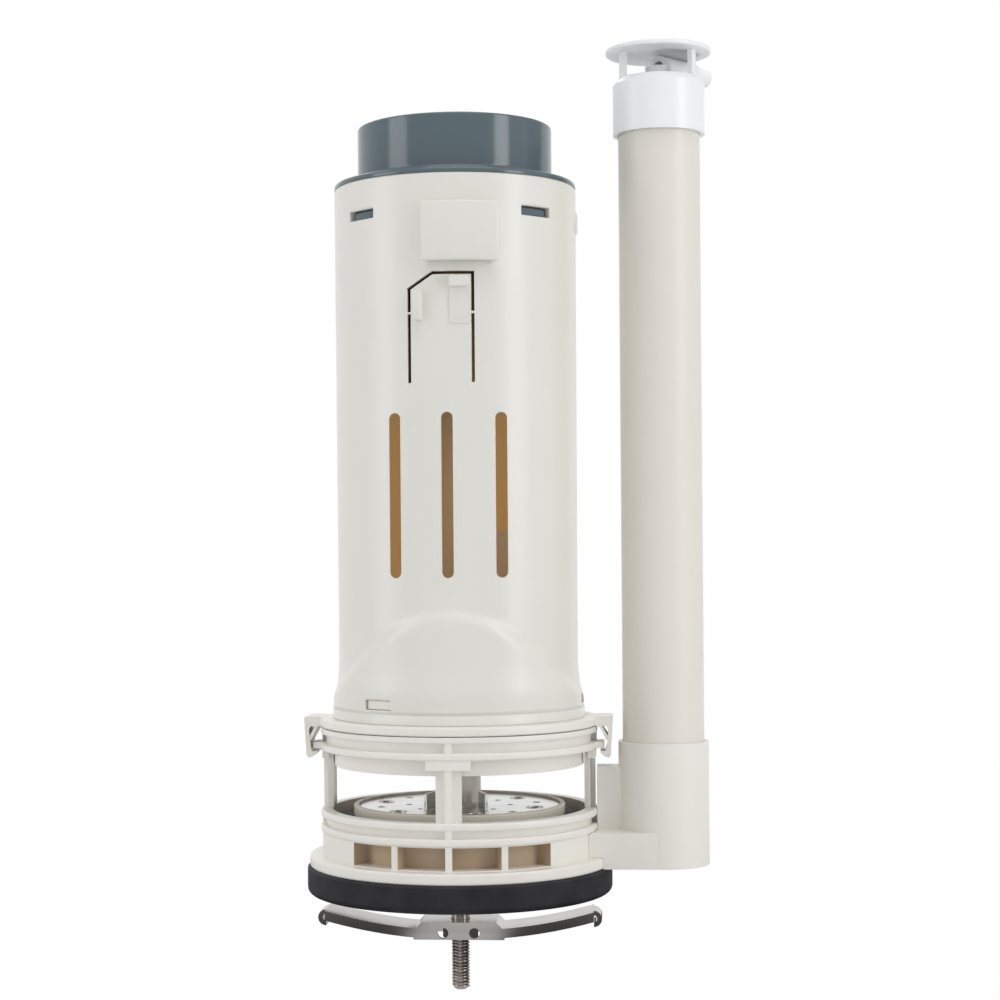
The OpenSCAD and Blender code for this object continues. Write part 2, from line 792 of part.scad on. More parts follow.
// Stop rib and catch block on the latch tongue
module tongue_bumps() {
    root = tower_in_r + tower_wall / 2;
    top = z_tongue + tongue_h - slit_w;
    bump_r = tower_r + bump_proud;
    radial_block(tongue_angle - 10.3, root, bump_r, 2.6, top - 13.5, top - 4.4);
    radial_block(tongue_angle + 8.4, root, bump_r, 6.2, top - 3.4, top);
}

module tower_shell() {
    color(white) difference() {
        union() {
            rotate_extrude() polygon(tower_outside());
            tower_arch();
            accessory_pocket();
            tongue_bumps();
            translate([0, 0, z_snap - snap_h])
                sector(tower_in_r + tower_wall / 2, tower_r + 1, 2 * snap_h, pad_angle, pad_span);
        }
        rotate_extrude() polygon(tower_hollow());
        for (a = [-slot_pitch, 0, slot_pitch])
            translate([0, 0, z_tower + slot_z]) radial(a, tower_r + 2) polygon(slot_outline(slot_w, slot_h));
        for (a = [45:90:315])
            radial_block(a, tower_in_r - 2, tower_r + 2, snap_w, z_snap - snap_h / 2, z_snap + snap_h / 2);
        for (i = [0:2])
            radial_block(low_snap_angle + 120 * i, tower_in_r - 1, tower_foot_r + 2, low_snap_w,
                z_low_snap - snap_h / 2, z_low_snap + snap_h / 2);
        tongue_slit();
    }
}

// Bracket that hangs from the cap's floor on one side of a lever
module pin_bracket(x, y) {
    bracket_r = pin_r + 2;
    translate([x, y, 0]) difference() {
        union() {
            translate([0, 0, pivot_z]) cross_bar(bracket_r, bracket_t);
            translate([-bracket_r + fit, -bracket_t / 2, pivot_z])
                cube([2 * (bracket_r - fit), bracket_t, z_top - pivot_z + eps]);
        }
        translate([0, 0, pivot_z]) cross_bar(pin_r + pin_fit, bracket_t + 2 * eps);
    }
}

module top_cap() {
    bracket_y = lever_t / 2 + run + bracket_t / 2;
    fillet = 2.4;
    hole_r = head_d / 2 + 1.5;
    slot = leg_t + 2 * run;
    tab_span = (snap_w - 2) / tower_r * 180 / PI;
    color(slate) difference() {
        union() {
            rotate_extrude() polygon(concat(
                [[hole_r, z_top], [skirt_r - skirt_wall, z_top], [skirt_r - skirt_wall, z_top - skirt_h]],
                [[skirt_r - lead / 2, z_top - skirt_h], [skirt_r, z_top - skirt_h + lead], [skirt_r, z_top]],
                [[cap_d / 2, z_top]],
                arc(cap_d / 2 - 1, z_floor - 1, 1, 0, 90),
                arc(neck_r + fillet, z_floor + fillet, fillet, 270, 180, 5),
                arc(neck_r - 0.8, z_neck - 0.8, 0.8, 0, 90),
                [[neck_in_r, z_neck], [neck_in_r, z_floor], [hole_r, z_floor]]
            ));
            for (a = [45:90:315])
                translate([0, 0, z_snap - snap_h / 2 + fit])
                    sector(skirt_r - eps, tower_r - tower_wall / 2, snap_h - 4 * fit, a, tab_span);
            for (x = [-pivot_x, pivot_x], y = [-bracket_y, bracket_y]) pin_bracket(x, y);
        }
        for (x = [-leg_x, leg_x])
            translate([x - slot / 2, -leg_w / 2 - run, z_top - eps])
                cube([slot, leg_w + 2 * run, floor_h + 2 * eps]);
    }
}

// The two lever pins
module lever_pins() {
    color(steel) for (x = [-pivot_x, pivot_x])
        translate([x, 0, pivot_z]) cross_bar(pin_r, lever_t + 2 * (run + bracket_t));
}

// Rocker lever with its inner arm pointing at the stem, at rest with that arm down
module rocker_lever(side) {
    color(amber) translate([side * pivot_x, 0, pivot_z]) rotate([0, -side * swing, 0])
        difference() {
            union() {
                cross_bar(hub_r, lever_t);
                translate([-side * arm_in, 0, 0]) cross_bar(knob_r, lever_t);
                translate([side * arm_out, 0, 0]) cross_bar(knob_r, lever_t);
                translate([side > 0 ? -arm_in : -arm_out, -lever_t / 2, -arm_t / 2])
                    cube([arm_in + arm_out, lever_t, arm_t]);
            }
            cross_bar(pin_r + pin_run, lever_t + 2 * eps);
        }
}

module rocker_lever_left() { rocker_lever(-1); }

module rocker_lever_right() { rocker_lever(1); }

module push_plate() {
    rim_low = z_floor + plate_travel + run;
    boss_r = spring_d / 2 - spring_wire - run;
    dish_r = plate_r - 5;
    color(slate) {
        rotate_extrude() polygon(concat(
            [[0, z_plate_low - 1.2], [boss_r, z_plate_low - 1.2], [boss_r, z_plate_low]],
            [[plate_r - 1.8, z_plate_low], [plate_r - 1.8, rim_low], [plate_r, rim_low]],
            arc(plate_r - 1, z_plate - 1, 1, 0, 90),
            [[dish_r + 1, z_plate], [dish_r, z_plate - 0.8], [0, z_plate - 0.8]]
        ));
        for (x = [-leg_x, leg_x])
            translate([x - leg_t / 2, -leg_w / 2, z_leg])
                cube([leg_t, leg_w, z_plate_low + eps - z_leg]);
    }
}

// Return spring between the cap's floor and the push plate
module button_spring() {
    sides = 8;
    steps = floor(20 * spring_turns);
    wire = spring_wire / 2;
    gap = 0.05;
    height = z_plate_low - z_floor - spring_wire - 2 * gap;
    pitch = height / spring_turns;
    rings = [for (i = [0:steps]) coil_ring(spring_d / 2, wire, pitch, spring_turns * i / steps, sides)];
    walls = [
        for (i = [0:steps - 1], k = [0:sides - 1])
            let (n = (k + 1) % sides)
            [i * sides + k, i * sides + n, (i + 1) * sides + n, (i + 1) * sides + k]
    ];
    ends = [
        [for (k = [0:sides - 1]) sides - 1 - k],
        [for (k = [0:sides - 1]) steps * sides + k]
    ];
    color(steel) translate([0, 0, z_floor + wire + gap])
        polyhedron(points = [for (r = rings, p = r) p], faces = concat(walls, ends));
}

module valve_stem() {
    socket_d = head_neck_d - 2;
    color(cream) difference() {
        union() {
            translate([0, 0, z_bottom_nut - 1]) cylinder(r = shank_r, h = z_weight - z_bottom_nut + 1 + eps);
            translate([0, 0, z_weight]) cylinder(r = stem_hub_d / 2, h = stem_hub_h);
            translate([0, 0, z_weight]) cylinder(r = stem_r, h = z_stem_top - z_weight);
        }
        translate([0, 0, z_stem_top - head_neck_h])
            cylinder(r = socket_d / 2, h = head_neck_h + eps);
    }
}

// Lift head on a neck, plugged into the top of the stem
module stem_head() {
    plug_d = head_neck_d - 2 - 2 * pin_fit;
    color(cream) {
        rotate_extrude() polygon([
            [0, z_stem_top - head_neck_h + 1], [plug_d / 2, z_stem_top - head_neck_h + 1],
            [plug_d / 2, z_stem_top], [head_neck_d / 2, z_stem_top], [head_neck_d / 2, z_head],
            [head_d / 2, z_head], [head_d / 2, z_head + head_h - lead],
            [head_d / 2 - lead, z_head + head_h], [0, z_head + head_h]
        ]);
    }
}

// Upturned cup that traps air on the stem
module float_cup() {
    float_r = float_d / 2;
    boss_r = stem_r + 2.5;
    color(white) rotate_extrude() polygon(concat(
        [[float_r - float_wall, z_float], [float_r, z_float]],
        arc(float_r - 2, z_clip - 2, 2, 0, 90),
        [[stem_r + fit, z_clip], [stem_r + fit, z_clip - 9], [boss_r, z_clip - 9]],
        [[boss_r, z_clip - float_wall], [float_r - float_wall, z_clip - float_wall]]
    ));
}

// Spring clip that keeps the float cup on the stem, open at the back
module float_clip() {
    color(amber) difference() {
        translate([0, 0, z_clip]) ring(stem_r + 3.2, stem_r + pin_fit, clip_h);
        radial_block(180, 0, stem_r + 5, stem_r, z_clip - eps, z_clip + clip_h + eps);
    }
}

// Open-bottomed side float on a ring around the stem
module side_float() {
    near_x = stem_r + 2.6;
    in_w = side_float_w - 2 * float_wall;
    color(white) difference() {
        union() {
            translate([0, 0, z_side_float]) cylinder(r = stem_r + 3, h = 7);
            translate([near_x, -side_float_w / 2, z_side_float])
                cube([side_float_l, side_float_w, side_float_h]);
        }
        translate([0, 0, z_side_float - eps]) cylinder(r = stem_r + pin_fit, h = 7 + 2 * eps);
        translate([near_x + float_wall, -in_w / 2, z_side_float - eps])
            cube([side_float_l - 2 * float_wall, in_w, side_float_h - float_wall + eps]);
    }
}

module disc_dish() {
    dish_r = dish_d / 2;
    color(cream) rotate_extrude() polygon(concat(
        [[shank_r + fit, z_dish]],
        rim(dish_r, z_dish, z_dish + dish_h, 0.5),
        [[dish_r - 1.6, z_dish + dish_h], [dish_r - 1.6, z_weight], [shank_r + fit, z_weight]]
    ));
}

// Perforated steel plate in the dish, with two tabs turned up in front of the stem
module disc_plate() {
    plate_out_r = dish_d / 2 - 1.6 - run;
    plate_in_r = stem_hub_d / 2 + fit;
    span = plate_out_r - plate_in_r;
    color(steel) {
        difference() {
            translate([0, 0, z_weight]) ring(plate_out_r, plate_in_r, weight_t);
            for (a = [15:30:345])
                rotate([0, 0, a]) translate([0, plate_in_r + span * 0.72, z_weight - eps])
                    cylinder(d = 2.6, h = weight_t + 2 * eps);
            for (a = [0:45:315])
                rotate([0, 0, a]) translate([0, plate_in_r + span * 0.34, z_weight - eps])
                    cylinder(d = 2, h = weight_t + 2 * eps);
        }
        for (x = [-1, 1])
            rotate([0, 0, x * tab_turn])
                translate([x * plate_in_r * 0.55 - weight_t / 2, -plate_in_r - tab_w, z_weight])
                    cube([weight_t, tab_w, tab_h]);
    }
}

module seal_ring() {
    color(black) translate([0, 0, z_seal]) ring(seal_d / 2, shank_r + fit, seal_h);
}

module seal_retainer() {
    retainer_r = retainer_d / 2;
    color(cream) rotate_extrude() polygon([
        [shank_r + fit, z_retainer], [retainer_r - lead, z_retainer], [retainer_r, z_retainer + lead],
        [retainer_r, z_seal], [shank_r + fit, z_seal]
    ]);
}

module bottom_nut() {
    color(cream) translate([0, 0, z_bottom_nut]) difference() {
        hex_bar(bottom_nut_af, bottom_nut_h);
        translate([0, 0, -eps]) cylinder(r = shank_r + pin_fit, h = bottom_nut_h + 2 * eps);
    }
}

module overflow_tube() {
    color(cream) translate([tube_x, 0, z_tube]) ring(tube_r, tube_r - tube_wall, tube_l);
}

module overflow_washer() {
    color(black) translate([tube_x, 0, z_washer])
        ring(socket_in_r - pin_run, tube_r - tube_wall - 0.6, washer_h);
}

// Push-on cap over the tube: collar, three posts, domed disc and refill nipple
module overflow_cap() {
    mouth_r = tube_r - tube_wall;
    disc_r = hood_disc_d / 2;
    color(cool_white) translate([tube_x, 0, 0]) difference() {
        union() {
            rotate_extrude() polygon([
                [hood_in_r, z_hood], [hood_r, z_hood], [hood_r, z_hood_top - 2],
                [hood_r - 1.4, z_hood_top], [mouth_r, z_hood_top],
                [mouth_r, z_tube_top + fit], [hood_in_r, z_tube_top + fit]
            ]);
            for (a = [-64, 56, 176])
                radial_block(a, mouth_r + 0.1, mouth_r + 1.9, 2, z_hood_top - eps, z_hood_disc + eps);
            rotate_extrude() polygon(concat(
                [[0, z_hood_disc]],
                rim(disc_r, z_hood_disc, z_hood_disc + hood_disc_h, 0.5),
                [for (i = [1:6]) let (s = 1 - i / 6)
                    [disc_r * 0.92 * s, z_hood_disc + hood_disc_h + hood_dome_h * (1 - s * s)]]
            ));
            translate([0, 0, z_nipple]) rotate([0, 0, nipple_angle]) rotate([0, 90, 0]) {
                cylinder(d = nipple_d, h = nipple_root);
                cylinder(d = stub_d, h = nipple_root + stub_l);
            }
            translate([0, 0, z_hood_top - hood_roof])
                cylinder(d = nipple_d + 1, h = hood_gap / 2 + hood_roof);
            rotate([0, 0, 90 + nipple_angle])
                radial_block(0, 0, mouth_r + 0.6, 2.4, z_hood_top - hood_roof, z_nipple);
        }
        translate([0, 0, z_nipple]) rotate([0, 0, nipple_angle]) rotate([0, 90, 0])
            cylinder(d = nipple_bore, h = nipple_root + stub_l + eps);
        translate([0, 0, z_hood_top - hood_roof - eps])
            cylinder(d = nipple_bore, h = hood_gap / 2 + hood_roof + eps);
    }
}

module clamp_screw() {
    color(steel) {
        translate([0, 0, lead - screw_drop])
            cylinder(r = screw_r, h = z_screw_head + screw_drop - lead + eps);
        translate([0, 0, -screw_drop]) cylinder(r1 = screw_r - lead, r2 = screw_r, h = lead);
        translate([0, 0, z_screw_head]) hex_bar(screw_head_af, screw_head_h);
    }
}

module screw_washer() {
    color(steel) translate([0, 0, z_screw_washer])
        ring(hub_d / 2 - 0.5, screw_r + run, screw_washer_h);
}

// Open clip that keeps the screw in the hub
module retaining_clip() {
    color(steel) difference() {
        translate([0, 0, -1.3]) ring(screw_r + 2.6, screw_r + pin_fit, 1);
        radial_block(180, 0, screw_r + 4, screw_r, -2, 0);
    }
}

// Bowed pressed channel with a raised middle, and ends curled down
module clamp_bar() {
    half = bar_l / 2;
    hat_low = bow_z - bow_r - bar_depth;
    color(steel) difference() {
        union() {
            intersection() {
                translate([0, 0, bow_z]) difference() {
                    cross_bar(bow_r + bar_depth, bar_w);
                    cross_bar(bow_r, bar_w + 2 * eps);
                }
                translate([-half, -bar_w, -bar_z - 2 * bar_depth])
                    cube([bar_l, 2 * bar_w, 4 * bar_depth + bar_z]);
            }
            bar_hat(0, 0, hat_low);
            for (x = [-1, 1]) bar_curl(x);
        }
        intersection() {
            translate([0, 0, bow_z]) difference() {
                cross_bar(bow_r + 2 * bar_depth, bar_w - 2 * bar_t);
                cross_bar(bow_r + bar_t, bar_w);
            }
            translate([-half + 4, -bar_w, -2 * bar_z]) cube([bar_l - 8, 2 * bar_w, 2 * bar_z]);
        }
        bar_hat(bar_t, bar_t, hat_low - eps);
        translate([0, 0, -2 * bar_z]) cylinder(r = screw_r + run, h = 2 * bar_z);
        for (x = [-5, 5]) translate([x, -bar_w / 2, z_hat - 3.4]) cross_bar(1.7, 4 * bar_t);
    }
}

// The raised middle's outer shape, or its hollow when it is inset and lowered by the sheet
module bar_hat(inset, lower, low) {
    foot = hat_l / 2 + hat_h - inset;
    rotate([90, 0, 0]) translate([0, 0, inset - bar_w / 2]) linear_extrude(bar_w - 2 * inset) polygon([
        [-foot, low], [-foot, -bar_z - lower], [inset / 2 - hat_l / 2, z_hat - lower],
        [hat_l / 2 - inset / 2, z_hat - lower], [foot, -bar_z - lower], [foot, low]
    ]);
}

// Tongue rolled down at one end of the bar
module bar_curl(side) {
    tongue = bar_w * 0.6;
    translate([side * bar_l / 2, 0, bar_end_z - curl_r]) difference() {
        cross_bar(curl_r, tongue);
        cross_bar(curl_r - bar_t, tongue + 2 * eps);
        translate([-side * curl_r - curl_r, -tongue, -2 * curl_r]) cube([2 * curl_r, 2 * tongue, 4 * curl_r]);
    }
}

module clamp_nut() {
    color(steel) translate([0, 0, z_clamp_nut]) difference() {
        hex_bar(clamp_nut_af, clamp_nut_h);
        translate([0, 0, -eps]) cylinder(r = screw_r + pin_run, h = clamp_nut_h + 2 * eps);
    }
}

tower_shell();
top_cap();
lever_pins();
lock_collar();
stem_guide();
seat_cage();
outlet_seat();
overflow_foot();
screw_spider();
tank_gasket();
overflow_tube();
overflow_washer();
overflow_cap();
screw_washer();
push_plate();
button_spring();
rocker_lever_left();
rocker_lever_right();
valve_stem();
stem_head();
float_cup();
float_clip();
side_float();
disc_dish();
disc_plate();
seal_ring();
seal_retainer();
bottom_nut();
clamp_screw();
retaining_clip();
clamp_bar();
clamp_nut();
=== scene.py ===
"""Looks of a tower flush valve: moulded plastics, rubber, stainless steel and soft studio light.

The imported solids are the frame. Each piece here rides on the same body as the solid that it stands for.
Lengths are named in millimetres and angles in degrees. They become metres and radians where they are used.
"""

import json
import math

import bmesh
import bpy
from mathutils import Matrix, Vector


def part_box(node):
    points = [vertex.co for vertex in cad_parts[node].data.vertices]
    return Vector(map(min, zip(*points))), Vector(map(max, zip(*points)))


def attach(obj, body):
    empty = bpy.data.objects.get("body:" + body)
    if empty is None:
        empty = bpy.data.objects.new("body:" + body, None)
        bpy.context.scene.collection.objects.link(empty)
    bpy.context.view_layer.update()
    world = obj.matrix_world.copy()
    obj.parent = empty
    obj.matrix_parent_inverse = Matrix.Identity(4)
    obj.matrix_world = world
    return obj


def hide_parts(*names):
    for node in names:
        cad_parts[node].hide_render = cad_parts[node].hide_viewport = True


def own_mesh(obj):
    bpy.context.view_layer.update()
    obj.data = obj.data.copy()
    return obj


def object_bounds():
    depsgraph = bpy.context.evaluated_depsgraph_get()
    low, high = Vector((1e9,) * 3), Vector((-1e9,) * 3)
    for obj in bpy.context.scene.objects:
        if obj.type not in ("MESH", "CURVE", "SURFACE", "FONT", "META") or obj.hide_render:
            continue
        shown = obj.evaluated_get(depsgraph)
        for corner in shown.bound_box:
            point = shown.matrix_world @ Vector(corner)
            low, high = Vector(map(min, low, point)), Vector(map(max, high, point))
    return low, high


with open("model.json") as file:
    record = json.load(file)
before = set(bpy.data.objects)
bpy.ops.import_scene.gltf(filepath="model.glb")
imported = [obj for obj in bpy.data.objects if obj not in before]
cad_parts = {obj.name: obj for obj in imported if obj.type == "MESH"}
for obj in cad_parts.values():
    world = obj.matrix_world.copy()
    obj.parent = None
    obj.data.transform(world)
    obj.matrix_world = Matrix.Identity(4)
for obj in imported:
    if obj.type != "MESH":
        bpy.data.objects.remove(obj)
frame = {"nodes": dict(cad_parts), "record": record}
cad_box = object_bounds()

MM = 0.001
record = frame["record"]
BODY_OF = {node: body for body, members in record["behaviour"]["bodies"].items() for node in members}

# Tower wall
TOWER_R = 38.4
TOWER_TOP_R = 38.8
TOWER_WALL = 1.9
TOWER_COLUMNS = 240
LOW_RINGS = 28
LOW_RING_STEP = 1.2
TALL_RINGS = 20
LIP_EASE = 0.3
TOP_EASE = 0.6
HAIR = 0.05
BAND_H = 3.4
BAND_EASE = 0.4
BAND_STEP = 0.35
FLARE_H = 19.0
FLARE_STEP = 0.4
FLARE_POWER = 1.6
PLUG_H = 11.0
PLUG_CLEAR = 1.0
PLUG_SLOPE = 3.0

# Arch over the tower's foot
ARCH_PROUD = 1.6
ARCH_H = 36.0
ARCH_FALL = 25.6
ARCH_SLOPE = 4.0
ARCH_FOOT = 1.2
ARCH_SETTLE = 10.0

# Which faces count as the tower's plain round wall
PLAIN_OVER_ARCH = 2.0
WALL_SLACK = 0.15
WALL_FACING = 0.95

# Inspection slots. Inside the tower, a glow is painted by them, and shade is painted from a little way over
# them
SLOT_W = 3.6
SLOT_H = 50.7
SLOT_Z = 45.1
SLOT_PITCH = 25.2
SLOT_END_STEPS = 12
SLOT_CUT_IN = 8.0
SLOT_CUT_OUT = 3.0
SHADE_PAINTED_OVER_SLOT = 7.0

# Snap windows, at the top for the cap and at the foot for the collar
SNAP_H = 3.0
SNAP_W = 11.5
SNAP_DROP = 10.9
SNAP_COUNT = 4
SNAP_ANGLE = 45.0
SNAP_SEAT = 5.0
LOW_SNAP_W = 10.0
LOW_SNAP_Z = 6.0
LOW_SNAP_COUNT = 3
LOW_SNAP_ANGLE = -34.0
WINDOW_CUT = 6.0
WINDOW_FLARE_IN = 0.35
WINDOW_FLARE_OUT = 0.65
WINDOW_FLARE = 0.75

# Accessory pocket and side pad
HOLDER_SPAN = 33.0
HOLDER_ANGLE = 6.5
HOLDER_H = 18.2
HOLDER_PROUD = 4.0
HOLDER_WALL = 1.6
HOLDER_DROP = 9.1
HOLDER_ROUND = 0.7
MOUTH_BACK = 0.25
MOUTH_PAST = 1.0
SIDE_PAD_PROUD = 1.0
SIDE_PAD_ANGLE = 96.0
SIDE_PAD_SPAN = 24.0
SIDE_PAD_ROUND = 0.5
SECTOR_STEPS = 24

# Latch tongue. The shares are of its height, and of its width for the peak
TONGUE_W = 19.6
TONGUE_H = 33.4
TONGUE_ANGLE = -2.5
TONGUE_GAP = 3.4
KNEE_SHARE = 0.86
PEAK_SHARE = 0.13
BRIDGE_SHARE = 0.63
BRIDGE_H = 0.6
SLIT_W = 1.0
SLIT_LAP = 0.1
SLIT_CUT_IN = 4.0
SLIT_CUT_OUT = 2.0

# Latch bumps: half width, head and foot below the tongue's top, turn from its middle, how far it
# stands out, and edge
LATCH_BUMPS = (
    ("stop_rib", 1.3, 4.4, 13.5, -10.3, 2.4, 0.35),
    ("catch_pad", 3.0, 3.0, 14.6, 8.4, 0.5, 0.08),
    ("catch_block", 3.1, 0.0, 3.4, 8.4, 2.4, 0.35),
)

# Clamp screw and return spring
SCREW_R = 2.9
SCREW_EDGE = 0.2
THREAD_PITCH = 1.0
THREAD_DEPTH = 0.32
THREAD_ROOT_R = 2.5
THREAD_LIFT = 0.1
THREAD_TOP = -16.0
THREAD_LEAD = 1.0
RUNOUT_H = 0.4
SPRING_D = 32.0
SPRING_WIRE = 1.2
SPRING_TURNS = 4.5

# Pockets between the outlet's ribs, whose deep faces get painted shade
POCKET_R = 38.5
POCKET_Z = 12.3
POCKET_H = 7.4
POCKET_SLACK = 0.4
DRUM_R = 44.0
DRUM_LIP = 0.7
LEDGE_FACING = 0.5

# Pressed rims on the disc's plate
PLATE_TOP = 27.3
RIM_COUNT = 6
RIM_ANGLE = 15.0
RIM_REACH = 25.4
RIM_R = 2.7
RIM_WIRE = 0.16
RIM_SIDES = 8
RIM_STEPS = 28

# Edges of a solid's copy: how close points merge, how flat faces join, what is hard, what is shaded sharp
MERGE_GAP = 0.002
FLAT_ANGLE = 0.5
HARD_ANGLE = 38
SHARP_ANGLE = 32

# Floor: a painted reflection round the part, darker near it and with a pale gap in line with the screw, that
# only polished steel mirrors
FLOOR_HALF = 12000.0
FLOOR_DROP = 0.5
FLOOR_GREY = 0.9
FLOOR_SEEN = 0.995
PAINTED_REFLECTION_NEAR = 120.0
PAINTED_REFLECTION_FAR = 500.0
PAINTED_REFLECTION_SHADE = 0.06
GAP_SHIFT = 9.0
GAP_NEAR = 14.0
GAP_FAR = 21.0

# Light: the world's fill, and soft boxes with place, target, size and power
WHITE = (1.0, 1.0, 1.0, 1.0)
WORLD_FILL = 0.36
PART_MIDDLE = (0, 0, 120)
SOFT_BOXES = (
    ("left_box", (-900, -420, 260), PART_MIDDLE, (420, 1100), 3.5),
    ("right_box", (900, -500, 300), PART_MIDDLE, (320, 1100), 4.3),
    ("top_box", (60, -420, 1150), PART_MIDDLE, (900, 700), 3.5),
    ("low_box", (120, -1000, 40), (20, 0, 30), (900, 260), 0.2),
    ("back_box", (-200, 760, 980), PART_MIDDLE, (900, 500), 2.6),
)

# Camera, read off the photograph's 1000 by 1000 frame
VIEW_AZIMUTH = 4.5
VIEW_DISTANCE = 685.0
VIEW_HEIGHT = 112.6
VIEW_SENSOR = 36.0
VIEW_LENS = 76.46
VIEW_SHIFT = (0.0424, 0.04)
VIEW_ROLL = -0.45
VIEW_CLIP = (10.0, 60000.0)


# Node trees

FLOAT, WHOLE, COLOUR = "NodeSocketFloat", "NodeSocketInt", "NodeSocketColor"
VECTOR, FINISH, SHAPE = "NodeSocketVector", "NodeSocketMaterial", "NodeSocketGeometry"
MIX_A, MIX_B, MIX_RESULT = 6, 7, 2


def srgb(red, green, blue):
    """A colour as it is seen on screen, as linear light."""
    def linear(c):
        c = c / 255
        return c / 12.92 if c <= 0.04045 else ((c + 0.055) / 1.055) ** 2.4
    return (linear(red), linear(green), linear(blue), 1.0)


def new_group(name, kind, inputs, outputs):
    """A node group with its sockets, and its two end nodes. An input's starting value may be None."""
    tree = bpy.data.node_groups.new(name, kind)
    for label, socket_type, value in inputs:
        socket = tree.interface.new_socket(label, in_out="INPUT", socket_type=socket_type)
        if value is not None:
            socket.default_value = value
    for label, socket_type in outputs:
        tree.interface.new_socket(label, in_out="OUTPUT", socket_type=socket_type)
    return tree, tree.nodes.new("NodeGroupInput"), tree.nodes.new("NodeGroupOutput")


def link(tree, *rows):
    """Joins sockets by rows of (node, output, node, input)."""
    for source, out, target, into in rows:
        tree.links.new(source.outputs[out], target.inputs[into])


def maths(tree, operation):
    step = tree.nodes.new("ShaderNodeMath")
    step.operation = operation
    return step


def set_inputs(node, **values):
    """Sets a node's even values. A space in a socket's name is written as an underscore."""
    for key, value in values.items():
        node.inputs[key.replace("_", " ")].default_value = value


# Shared surface effects

def tinted(tree, inside, noise, first, second, out):
    """Lets a noise run the colour between two inputs and the roughness between the gloss inputs."""
    tint = tree.nodes.new("ShaderNodeMix")
    tint.data_type = "RGBA"
    gloss = tree.nodes.new("ShaderNodeMapRange")
    link(
        tree,
        (noise, "Fac", tint, "Factor"), (inside, first, tint, MIX_A), (inside, second, tint, MIX_B),
        (tint, MIX_RESULT, out, "Color"), (noise, "Fac", gloss, "Value"),
        (inside, "Gloss low", gloss, "To Min"), (inside, "Gloss high", gloss, "To Max"),
        (gloss, "Result", out, "Roughness"),
    )


def moulded_skin_group():
    """Faint clouding of the colour and the gloss, and a fine mould grain."""
    tree, inside, out = new_group("Moulded skin", "ShaderNodeTree", (
        ("Pale", COLOUR, (0.8, 0.8, 0.8, 1)), ("Deep", COLOUR, (0.7, 0.7, 0.7, 1)),
        ("Cloud size", FLOAT, 30.0), ("Grain size", FLOAT, 900.0), ("Grain depth", FLOAT, 0.03),
        ("Gloss low", FLOAT, 0.3), ("Gloss high", FLOAT, 0.4),
    ), (("Color", COLOUR), ("Roughness", FLOAT), ("Normal", VECTOR)))
    place = tree.nodes.new("ShaderNodeTexCoord")
    cloud, grain = (tree.nodes.new("ShaderNodeTexNoise") for _ in range(2))
    set_inputs(cloud, Detail=3)
    set_inputs(grain, Detail=2)
    bump = tree.nodes.new("ShaderNodeBump")
    set_inputs(bump, Distance=0.05 * MM)
    link(
        tree,
        (place, "Object", cloud, "Vector"), (inside, "Cloud size", cloud, "Scale"),
        (place, "Object", grain, "Vector"), (inside, "Grain size", grain, "Scale"),
        (grain, "Fac", bump, "Height"), (inside, "Grain depth", bump, "Strength"),
        (bump, "Normal", out, "Normal"),
    )
    tinted(tree, inside, cloud, "Pale", "Deep", out)
    return tree


def rolled_steel_group():
    """Long rolling streaks in the gloss of a steel strip, drawn along X, and faint stains."""
    tree, inside, out = new_group("Rolled steel", "ShaderNodeTree", (
        ("Bright", COLOUR, (0.75, 0.75, 0.75, 1)), ("Dull", COLOUR, (0.55, 0.54, 0.52, 1)),
        ("Streak size", FLOAT, 300.0), ("Gloss low", FLOAT, 0.12), ("Gloss high", FLOAT, 0.3),
    ), (("Color", COLOUR), ("Roughness", FLOAT)))
    place = tree.nodes.new("ShaderNodeTexCoord")
    stretch = tree.nodes.new("ShaderNodeMapping")
    set_inputs(stretch, Scale=(0.04, 1.0, 1.0))
    streak = tree.nodes.new("ShaderNodeTexNoise")
    set_inputs(streak, Detail=4)
    link(
        tree,
        (place, "Object", stretch, "Vector"), (stretch, "Vector", streak, "Vector"),
        (inside, "Streak size", streak, "Scale"),
    )
    tinted(tree, inside, streak, "Bright", "Dull", out)
    return tree


MOULDED_SKIN = moulded_skin_group()
ROLLED_STEEL = rolled_steel_group()


def finish_material(name, group, values, **sockets):
    """A Principled finish fed by a shared group, with its even values on the shader's own sockets."""
    material = bpy.data.materials.new(name)
    material.use_nodes = True
    tree = material.node_tree
    shader = tree.nodes["Principled BSDF"]
    effect = tree.nodes.new("ShaderNodeGroup")
    effect.node_tree = group
    for key, value in values.items():
        effect.inputs[key].default_value = value
    link(tree, (effect, "Color", shader, "Base Color"), (effect, "Roughness", shader, "Roughness"))
    if "Normal" in effect.outputs:
        link(tree, (effect, "Normal", shader, "Normal"))
    set_inputs(shader, **sockets)
    return material


def moulded(name, pale, deep, low, high, cloud=30.0, grain=900.0, depth=0.03, **sockets):
    values = {
        "Pale": srgb(*pale), "Deep": srgb(*deep), "Gloss low": low, "Gloss high": high,
        "Cloud size": cloud, "Grain size": grain, "Grain depth": depth,
    }
    return finish_material(name, MOULDED_SKIN, values, **sockets)


def steel(name, bright, dull, low, high, streak=300.0):
    values = {
        "Bright": srgb(*bright), "Dull": srgb(*dull), "Gloss low": low, "Gloss high": high,
        "Streak size": streak,
    }
    return finish_material(name, ROLLED_STEEL, values, Metallic=1.0)


